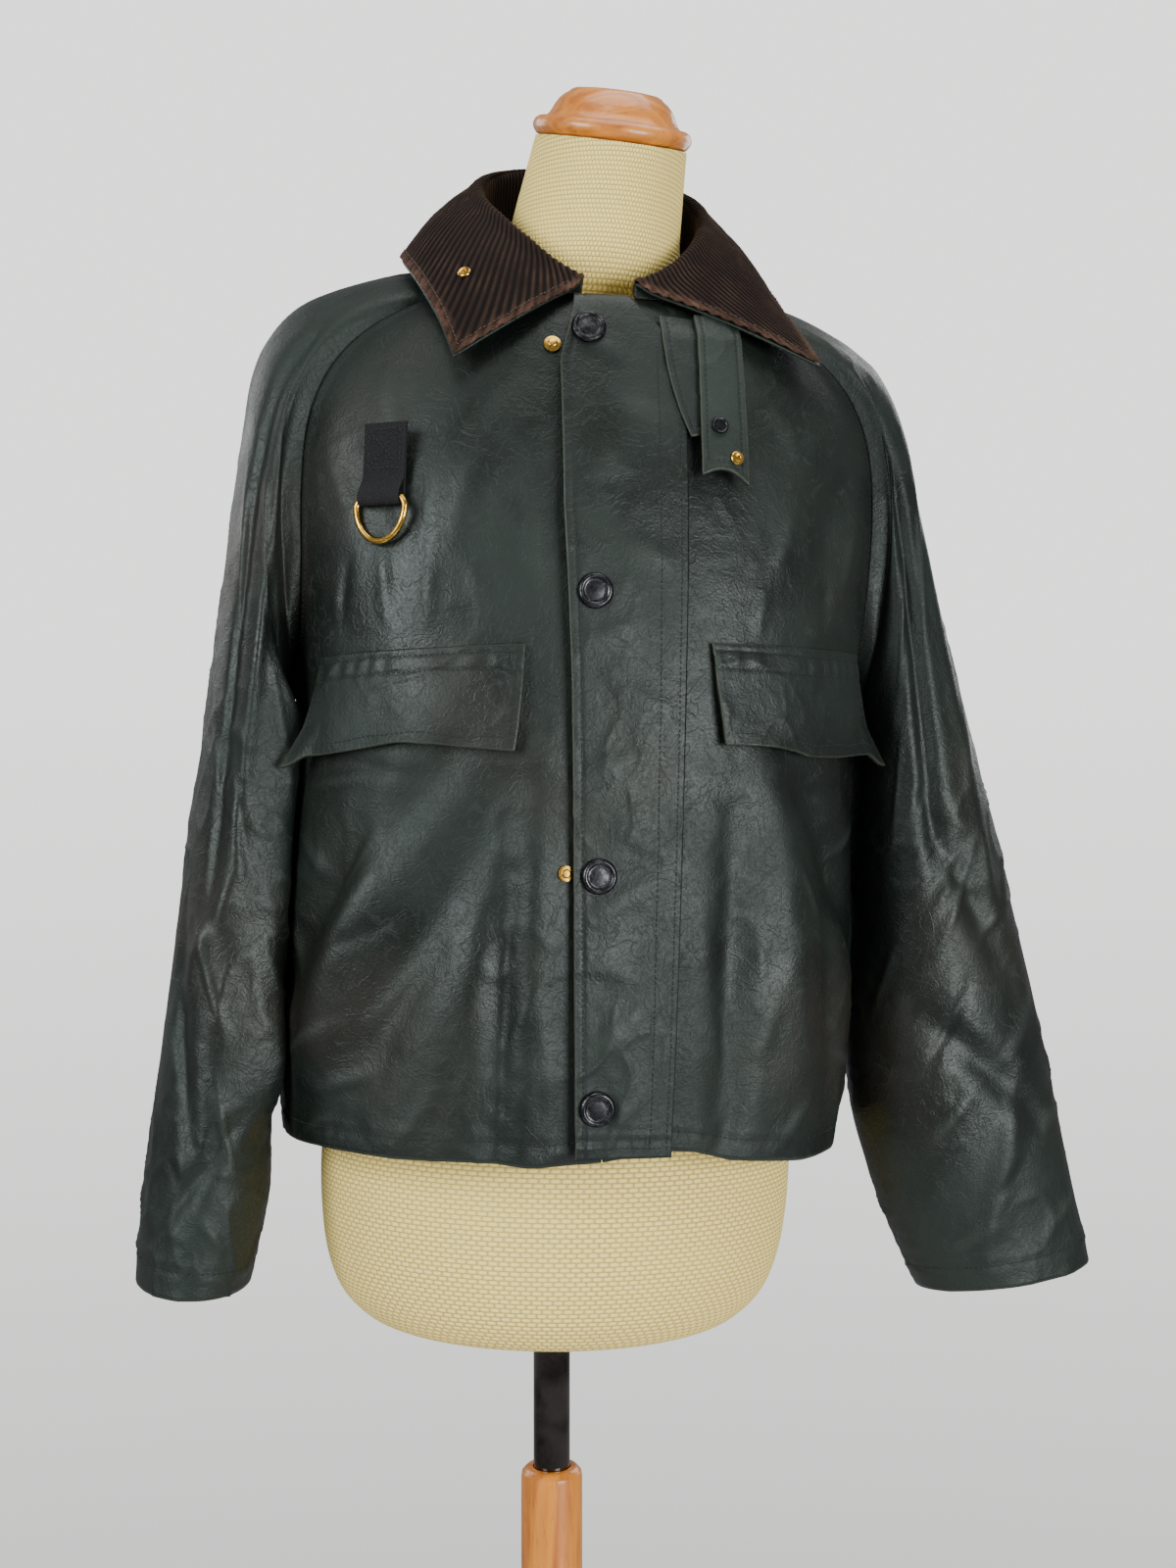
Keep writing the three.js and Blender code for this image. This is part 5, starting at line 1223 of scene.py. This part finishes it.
def pocketFlap(side, name, row):
    across, up = shareGrid(pocketLook["columns"], pocketLook["rows"])
    height, width = pocketLook["heightMm"], pocketLook["widthMm"]
    inner = row["inner"] + row["slant"] * (1 - up)
    outer = row["outer"] + row["flare"] * (1 - up)
    foot = mix(row["footIn"], row["footOut"], across ** 2) + 2.2 * np.sin(across * 7 + side)
    foot = foot - pocketLook["tipDrop"] * smooth(across, pocketLook["tipFrom"], 1.0)
    top = mix(row["topIn"], row["topOut"], across)
    angle, z = side * mix(inner, outer, across), mix(foot, top, up)
    corner = row["lift"] * across ** 4 * (1 - up) ** 1.5
    curl = 5 * np.maximum(across - 0.86, 0) * np.maximum(0.35 - up, 0) * 20
    lift = seamGap + 4 * (1 - up) ** 0.7 + corner + curl + 1.6 * (1 - up) * np.sin(math.pi * 2 * across)
    lift = lift + pocketLook["thickness"] + pocketLook["clear"]
    base = overBody(angle, z, lift)
    gather = hump(up, 0.84, 0.10) * (0.7 * np.sin(across * 55 + 3 * np.sin(across * 9)) + 0.4)
    sag = 1.3 * np.sin(across * 16 + 2) * smooth(1 - up, 0.2, 0.7)
    sag = sag * (0.4 + 0.6 * patches(base, 40, side + 5.0))
    fine = 0.35 * crumple(base, 20, 3.0 + side) * patches(base, 45, 2.7)
    below = (1 - up) * height
    groove = hump(below, pocketLook["upperStitch"], 1.1) + hump(below, pocketLook["lowerStitch"], 1.2)
    points = base + surfaceNormals(base) * side * (0.5 * gather + sag * 0.6 + fine - 0.5 * groove)[..., None]
    rim = np.minimum(np.minimum(up * height, across * width), (1 - across) * width)
    piece = sheetPiece("pocket_flap_%s_cloth" % name, points, pocketLook["thickness"], outward=side,
                       attributes={"crease": np.clip(sag + gather, 0, 2) * 0.5, "edge": hump(rim, 0, 1.3)})
    dress(piece, waxMaterial, "waxed_cotton", "pocket_flap_" + name,
          flat=(0.16, 0.07), held="draped", rests_on=["front_%s_cloth" % name])
    normals = surfaceNormals(points) * side
    for below in (pocketLook["upperStitch"], pocketLook["lowerStitch"]):
        row = 1 - below / height
        sewLines(points, normals, ((0.01, row), (0.99, row), 160))
    sewLines(points, normals, ((0.03, 0.11), (0.95, 0.11), 160), waver=0.008)
    sewLines(points, normals, ((0.03, 0.11), (0.03, 0.9), 50), ((0.965, 0.13), (0.965, 0.9), 50))


throatLook = {"columns": 44, "rows": 90, "thickness": 2.9, "underLift": 5.6, "top": 1412, "tuckFrom": 1394,
              "tuckDepth": 3.2, "left": 49.0, "right": 78.0, "foot": 1307, "widthMm": 30, "heightMm": 86}
throatUnderLook = {"columns": 60, "rows": 70, "left": 27, "right": 76.0, "foot": 1332, "widthMm": 46,
                   "heightMm": 62}


def tabLift(across, up):
    reach = throatLook["underLift"] + waxThickness + 0.5
    return reach + 2 * (1 - up) * across + 1.2 * np.sin(math.pi * across)


def tuckedUnder(z):  # the upper ends sink to pass under the collar's leaf
    return throatLook["tuckDepth"] * smooth(z, throatLook["tuckFrom"], throatLook["top"])


def throatTab():
    across, up = shareGrid(throatLook["columns"], throatLook["rows"])
    notch = throatLook["foot"] - 5 * across + 6 * np.sin(math.pi * across)
    x, z = mix(throatLook["left"], throatLook["right"], across), mix(notch, throatLook["top"], up)
    lift = tabLift(across, np.minimum(up * 1.14, 1)) + throatLook["thickness"] + 0.3 - tuckedUnder(z)
    base = overBody(angleAt(x, z), z, lift)
    rim = np.minimum(np.minimum(across, 1 - across) * throatLook["widthMm"], up * throatLook["heightMm"])
    bump = 0.3 * crumple(base, 18, 6.6) - 0.5 * hump(rim, 4, 1)
    points = base + surfaceNormals(base) * bump[..., None]
    piece = sheetPiece("throat_tab_cloth", points, throatLook["thickness"],
                       attributes={"crease": bump.clip(0, 1), "edge": hump(rim, 0, 1.2)})
    dress(piece, underMaterial, "waxed_cotton", "throat_tab",
          flat=(0.032, 0.118), held="draped", rests_on=["throat_under_cloth"])
    sewLines(points, surfaceNormals(points), ((0.13, 0.06), (0.13, 0.99), 60),
             ((0.87, 0.06), (0.87, 0.99), 60), ((0.13, 0.06), (0.87, 0.06), 30))


def throatUnder():
    look = throatUnderLook
    across, up = shareGrid(look["columns"], look["rows"])
    left = look["left"] + 17 * (1 - up) ** 2.2
    x, z = mix(left, look["right"], across), mix(look["foot"] + 8 * across, throatLook["top"], up)
    base = overBody(angleAt(x, z), z, throatLook["underLift"] + waxThickness - tuckedUnder(z))
    rim = np.minimum(across * look["widthMm"], up * look["heightMm"])
    bump = 0.3 * np.sin(up * 22) * hump(rim, 0, 5) - 0.4 * hump(rim, 4.5, 1)
    points = base + surfaceNormals(base) * bump[..., None]
    piece = sheetPiece("throat_under_cloth", points, waxThickness - 0.1,
                       attributes={"crease": np.zeros(bump.shape), "edge": hump(rim, 0, 1.2)})
    dress(piece, waxMaterial, "waxed_cotton", "throat_tab_under",
          flat=(0.05, 0.084), held="draped", rests_on=["front_left_cloth"])
    sewLines(points, surfaceNormals(points), ((0.10, 0.08), (0.10, 0.98), 60),
             ((0.10, 0.08), (0.96, 0.08), 60))


stormFlap()
pocketFlap(-1, "right", pocketRight)
pocketFlap(1, "left", pocketLeft)
throatUnder()
throatTab()
print("flaps and tabs made")


# Small hardware

def seatFrame(x, z, lift):  # level, up and out at a place over the front, with its point
    angle = angleAt(x, z)
    base = bodyPoint(angle, roundAt(angle, z))
    out = bodyNormal(angle, roundAt(angle, z))
    level = unit(np.cross([0, 0, 1.0], out))
    return base + out * lift, level, np.cross(out, level), out


def seatPiece(piece, frameOfPlace):  # puts a piece modelled at the origin in mm into its place
    point, level, up, out = frameOfPlace
    basis = np.stack([level, up, out])
    vertices = np.zeros(len(piece.data.vertices) * 3)
    piece.data.vertices.foreach_get("co", vertices)
    placed = leaned(vertices.reshape(-1, 3) @ basis + point)
    piece.data.vertices.foreach_set("co", placed.ravel())
    piece.data.update()


def turnedPiece(name, profile, segments=48):  # circle, then extrude and resize up the profile, in mm
    bpy.ops.object.select_all(action="DESELECT")
    bpy.ops.mesh.primitive_circle_add(vertices=segments, radius=profile[0][0], fill_type="NGON",
                                      location=(0, 0, 0))
    piece = bpy.context.active_object
    piece.name = name
    bpy.ops.object.mode_set(mode="EDIT")
    bpy.ops.mesh.select_all(action="SELECT")
    bpy.ops.transform.translate(value=(0, 0, profile[0][1]))
    for (radius, height), (nextRadius, nextHeight) in zip(profile, profile[1:]):
        bpy.ops.mesh.extrude_region_move(TRANSFORM_OT_translate={"value": (0, 0, nextHeight - height)})
        scale = nextRadius / radius
        bpy.ops.transform.resize(value=(scale, scale, 1), center_override=(0, 0, nextHeight))
    bpy.ops.mesh.select_all(action="SELECT")
    bpy.ops.mesh.normals_make_consistent(inside=False)
    bpy.ops.object.mode_set(mode="OBJECT")
    return piece


def smoothByAngle(piece, degrees=35):
    pickOnly(piece)
    bpy.ops.object.shade_smooth_by_angle(angle=math.radians(degrees))


def addBeads(piece, radius, height, count, size):  # a plain ring of beads in place of any lettering
    beads = []
    for k in range(count):
        turn = 2 * math.pi * k / count
        bpy.ops.mesh.primitive_uv_sphere_add(
            segments=10, ring_count=6, radius=size,
            location=(radius * math.cos(turn), radius * math.sin(turn), height))
        bpy.ops.object.transform_apply(location=True)
        beads.append(bpy.context.active_object)
    for bead in beads:
        bead.select_set(True)
    piece.select_set(True)
    bpy.context.view_layer.objects.active = piece
    bpy.ops.object.join()


snapLook = {"radius": 11, "height": 3.4, "standOff": 0.7, "beads": 26, "beadRing": 0.52, "beadRise": 0.74,
            "beadSize": 0.045}
flapSnaps = table("x z", (-19, 1398), (-16.5, 1233), (-9.5, 1061), (-6, 921))
# Profiles from foot to top, as shares of the radius and of the height.
smallProfiles = {
    "cap": ((0.9, 0), (0.985, 0.12), (1, 0.32), (0.985, 0.55), (0.94, 0.76), (0.87, 0.95), (0.8, 1),
            (0.73, 0.94), (0.67, 0.76), (0.6, 0.72), (0.45, 0.76), (0.22, 0.8), (0.05, 0.81)),
    "ring": ((0.97, 0), (1, 0.2), (0.98, 0.5), (0.9, 0.82), (0.8, 1), (0.62, 0.96), (0.46, 0.84), (0.42, 0.7),
             (0.42, 0.12)),
    "pin": ((0.96, 0), (1, 0.12), (0.97, 0.26), (0.8, 0.36), (0.58, 0.42), (0.52, 0.6), (0.54, 0.82),
            (0.46, 0.96), (0.34, 1)),
}


def fitSmall(node, kind, radius, height, place, beads=0):
    profile = [(radius * share, height * rise) for share, rise in smallProfiles[kind]]
    piece = turnedPiece(node + "_" + kind, profile, 56 if kind == "cap" else 40)
    if beads:
        addBeads(piece, radius * snapLook["beadRing"], height * snapLook["beadRise"], beads,
                 radius * snapLook["beadSize"])
    smoothByAngle(piece)
    seatPiece(piece, place)
    cloth.objects.link(piece)
    for other in list(piece.users_collection):
        if other is not cloth:
            other.objects.unlink(piece)
    if kind == "cap":
        dress(piece, platingMaterial, "snap_metal", node)
    else:
        dress(piece, brassMaterial, "brass", node)


def flapTopAt(x, z):
    free = np.interp(z, flapFree["z"], flapFree["x"])
    across = (x - free) / (flapSeamX - free)
    up = (z - flapFoot) / (np.interp(across, flapTop["across"], flapTop["z"]) - flapFoot)
    return float(stormLift(across, up)) + 2 * waxThickness


def smallHardware():
    for k, name in enumerate(("snap_neck", "snap_chest", "snap_waist", "snap_hem")):
        x, z = flapSnaps["x"][k], flapSnaps["z"][k]
        fitSmall(name, "cap", snapLook["radius"], snapLook["height"],
                 seatFrame(x, z, flapTopAt(x, z) + snapLook["standOff"]), snapLook["beads"])
    tabTop = 2 * waxThickness + 0.5
    for name, kind, radius, height, x, z, lift in (
            ("neck_stud", "pin", 5.5, 3, -41, 1389, seamGap + 0.6),
            ("waist_stud", "pin", 5, 1.6, -29, 1062, seamGap + 0.8),
            ("tab_snap", "cap", 5.5, 2, 60, 1338, float(tabLift(0.4, 0.34)) + tabTop),
            ("tab_socket", "ring", 4.5, 1.6, 70, 1318, float(tabLift(0.72, 0.15)) + tabTop + 0.1)):
        fitSmall(name, kind, radius, height, seatFrame(x, z, lift))
    # The collar's socket lies on the right leaf, level with its face.
    here, ahead = collarPoint(-1, np.array([1.55, 1.75]), np.array([7.5, 7.5]))
    section = collarSections(-1, np.array([1.55]))[0]
    up = unit(section[7] - section[8])
    out = unit(np.cross(here - ahead, up))
    point = here + out * (seamGap / 2 + cordThickness + 0.6)
    fitSmall("collar_socket", "ring", 4.5, 1.6, (point, np.cross(up, out), up, out))


smallHardware()
print("snaps and studs made")


# Webbing loop with its D-ring

webbingLook = {"x": -140, "z": 1287, "top": 1334, "width": 31, "lift": 2.4, "ply": 1.5, "clear": 0.5}
ringLook = {"wire": 2.2, "bar": 16.4, "half": 18.6, "shoulder": 4, "drop": 26}


def webbingPath():  # middle line of the strap: out of the cloth and up, in mm
    hole, half = ringLook["wire"] + webbingLook["clear"], webbingLook["ply"] / 2
    middle, radius = hole + webbingLook["ply"], hole + half
    height = webbingLook["top"] - webbingLook["z"]
    points = [(3 * half, height), (3 * half, 30), (3 * half, 15)]
    points += [(3 * half + (middle + radius - 3 * half) * s * s * (3 - 2 * s), 15 - 14 * s)
               for s in (0.25, 0.5, 0.75)]
    points += [(middle + radius * math.cos(turn), radius * math.sin(turn))
               for turn in np.radians(np.arange(0, -181, -15))]
    points += [(middle - radius, 8), (half, 15), (half, 30), (half, height)]
    line = np.array(points)
    place = pathLength(line)
    even = np.linspace(0, place[-1], 150)
    return np.stack([np.interp(even, place, line[:, k]) for k in (0, 1)], axis=-1), even


def makeWebbing():
    path, run = webbingPath()
    point, level, up, out = seatFrame(webbingLook["x"], webbingLook["z"], webbingLook["lift"])
    wide = np.linspace(-0.5, 0.5, 26) * webbingLook["width"]
    sideways = np.stack([-np.gradient(path[:, 1]), np.gradient(path[:, 0])], axis=-1)
    path = path + unit(sideways) * (webbingLook["ply"] / 2 - 0.05)
    points = (point + path[:, None, 0, None] * out + path[:, None, 1, None] * up
              + wide[None, :, None] * level)
    uv = np.stack(np.broadcast_arrays(wide[None, :], run[:, None]), axis=-1)
    piece = sheetPiece("webbing_strap", points, webbingLook["ply"] - 0.1, outward=-1, uv=uv)
    dress(piece, webbingMaterial, "webbing", "webbing_loop",
          flat=(0.031, 0.115), held="folded", rests_on=["front_right_cloth"])
    corners = np.array(((-12, 43), (12, 43), (12, 19), (-12, 19)))    # a sewn box with its cross
    share = np.linspace(0, 1, 20)[:, None]
    for first, last in ((0, 1), (1, 2), (2, 3), (3, 0), (0, 2), (1, 3)):
        across, high = np.split(mix(corners[first], corners[last], share), 2, axis=1)
        path = point + out * (2 * webbingLook["ply"] + 0.1) + up * high + level * across
        stitchRow("webbing", path, np.repeat(out[None, :], 20, axis=0))


def makeRing():
    line = [(share * ringLook["bar"], 0) for share in np.linspace(-1, 1, 25)]
    for turn in np.linspace(0, math.pi, 60):
        drop = ringLook["shoulder"] + (ringLook["drop"] - ringLook["shoulder"]) * math.sin(turn)
        line.append((ringLook["half"] * math.cos(turn), -drop))
    curve = bpy.data.curves.new("d_ring_path", "CURVE")
    curve.dimensions = "3D"
    spline = curve.splines.new("POLY")
    spline.points.add(len(line) - 1)
    for spot, (x, y) in zip(spline.points, line):
        spot.co = (x, y, 0, 1)
    spline.use_cyclic_u = True
    curve.bevel_depth = ringLook["wire"]
    curve.bevel_resolution = 6
    ring = bpy.data.objects.new("d_ring_wire", curve)
    bpy.context.scene.collection.objects.link(ring)
    pickOnly(ring)
    bpy.ops.object.convert(target="MESH")
    ring = bpy.context.active_object
    smoothByAngle(ring, 60)
    lift = webbingLook["lift"] + ringLook["wire"] + webbingLook["clear"] + webbingLook["ply"]
    seatPiece(ring, seatFrame(webbingLook["x"], webbingLook["z"], lift))
    dress(ring, brassMaterial, "brass", "d_ring", "ring")


makeWebbing()
makeRing()
print("webbing and ring made")


# Dress form and stand

formRounds = table(
    "z half front back tilt mid sway roll",
    (746, 92, 66, 66, 0, 0, 0, 0), (749, 112, 80, 80, 0, 0, 0, 0), (758, 131, 94, 94, 0, 0, 0, 0),
    (778, 148, 107, 106, 0, 0, 0, 0), (813, 158, 114, 108, 0, 0, 0, 0), (868, 161, 112, 109, 0, 0, 0, 0),
    (935, 154, 104, 103, 0, 0, 0, 0), (1000, 136, 97, 88, 0, 0, 0, 0), (1050, 127, 97, 78, 0, 0, 0, 0),
    (1110, 132, 106, 84, 0, 0, 0, 0), (1170, 144, 119, 95, 0, 0, 0, 0), (1220, 152, 124, 101, 0, 0, 0, 0),
    (1270, 160, 116, 104, 0, 0, 0, 0), (1320, 170, 100, 102, 2, 0, 0, 0), (1360, 175, 86, 94, 3, 0, 0, 0),
    (1398, 168, 70, 78, 4, 0, 0, 0), (1421, 152, 58, 64, 4, 0, 0, 0), (1434, 127, 48, 54, 4, -1, 0, 0),
    (1441, 100, 44, 50, 5, -3, 0, 0), (1448, 78, 46, 48, 8, -6, 0, 0), (1457, 67, 51, 50, 11, -9, 0, 0),
    (1476, 59, 56, 52, 13, -12, 0.5, 0), (1508, 55, 54, 52, 14.5, -14, 4.5, 1),
    (1546, 51, 53, 53, 15.2, -17, 9.5, 1.8),
)
formColumns = 104
coverWidth = coverLook["ovalMm"] * 140    # a whole number of ovals round


def makeForm():
    last = len(formRounds["z"]) - 1
    place = np.concatenate([np.linspace(0, 3, 22, endpoint=False), np.linspace(3, last, 150)])[:, None]
    turn = np.linspace(math.pi, 3 * math.pi, formColumns, endpoint=False)[None, :]
    z, half, front, back, tilt, mid, sway, roll = tableValues(
        formRounds, place, "z half front back tilt mid sway roll")
    reach = np.where(np.cos(turn) > 0, front, back)
    points = np.stack(np.broadcast_arrays(
        sway + half * np.sin(turn), mid - reach * np.cos(turn),
        z - tilt * np.cos(turn) - roll * np.sin(turn)), axis=-1)
    rows = points.shape[0]
    width = coverWidth * (turn / (2 * math.pi) - 0.5) + 0 * points[..., 0]
    uv = np.stack([width, points[..., 2]], axis=-1)
    faces = gridFaces(rows, formColumns, True).tolist()
    faces.append(list(range(formColumns))[::-1])
    faces.append([(rows - 1) * formColumns + k for k in range(formColumns)])
    piece = meshPiece("form_cover", leaned(points).reshape(-1, 3), faces, None, uv)
    layer = piece.data.uv_layers["cloth"]
    for face in piece.data.polygons[:(rows - 1) * formColumns]:
        corners = [layer.data[k] for k in face.loop_indices]
        if max(c.uv[0] for c in corners) - min(c.uv[0] for c in corners) > coverWidth / 2:
            for corner in corners:
                if corner.uv[0] < coverWidth / 2:
                    corner.uv[0] += coverWidth
    smoothByAngle(piece, 60)
    dress(piece, coverMaterial, "form_cover", "form_torso")


capLook = ((30, 0), (48, 0), (51, 1.3), (53, 4), (53.8, 6.4), (53.5, 8.5), (52.4, 10.8), (50, 12.5),
           (47.6, 12.8), (45, 13.5), (43.6, 15.2), (42, 18), (40.4, 21.4), (38, 25), (35.2, 27.9), (32, 30),
           (30.2, 31.6),
           (28, 32.6), (22, 33.3), (10, 33.5))
baseLook = ((120, 0), (187, 0), (189.2, 0.9), (190, 3), (190, 14), (189, 16.4), (186, 18.2), (182, 20),
            (176.5, 21.4), (170, 22), (60, 22))
columnLook = ((34, 22), (33.6, 27), (32, 32), (28.4, 38), (24, 46), (22, 54), (21, 66), (21, 638),
              (20.4, 641.4), (19, 643), (17.6, 644.4), (16, 645), (13, 645), (13, 240))
poleLook = ((12, 345), (12.5, 346), (12.5, 744.6), (12.1, 745.2))


def makeStand():
    cap = turnedPiece("neck_cap_wood", capLook, 96)
    tilt = Matrix.Rotation(leanAngle, 4, "Y") @ Matrix.Rotation(math.radians(16), 4, "X")
    top = len(formRounds["z"]) - 1
    sway, mid, z = (formRounds[name][top] for name in ("sway", "mid", "z"))
    place = Matrix.Translation((sway, mid, z + seamGap))
    cap.data.transform(place @ tilt)
    seatPiece(cap, (np.zeros(3), *np.eye(3)))
    smoothByAngle(cap, 30)
    dress(cap, capMaterial, "wood", "neck_cap")
    for name, profile, segments, material, slot, body in (
            ("base", baseLook, 128, beechMaterial, "wood", "stand"),
            ("column", columnLook, 72, beechMaterial, "wood", "stand"),
            ("pole", poleLook, 72, chromeMaterial, "chrome", "jacket")):
        piece = turnedPiece(name + "_turned", profile, segments)
        piece.data.transform(Matrix.Scale(metres, 4))
        smoothByAngle(piece, 30)
        dress(piece, material, slot, name, body)


makeForm()
makeStand()
print("form and stand made")

for group, material in (("wax", threadMaterial), ("cord", cordThreadMaterial), ("webbing", threadMaterial)):
    sewStitches(group, material)
print("stitches made")
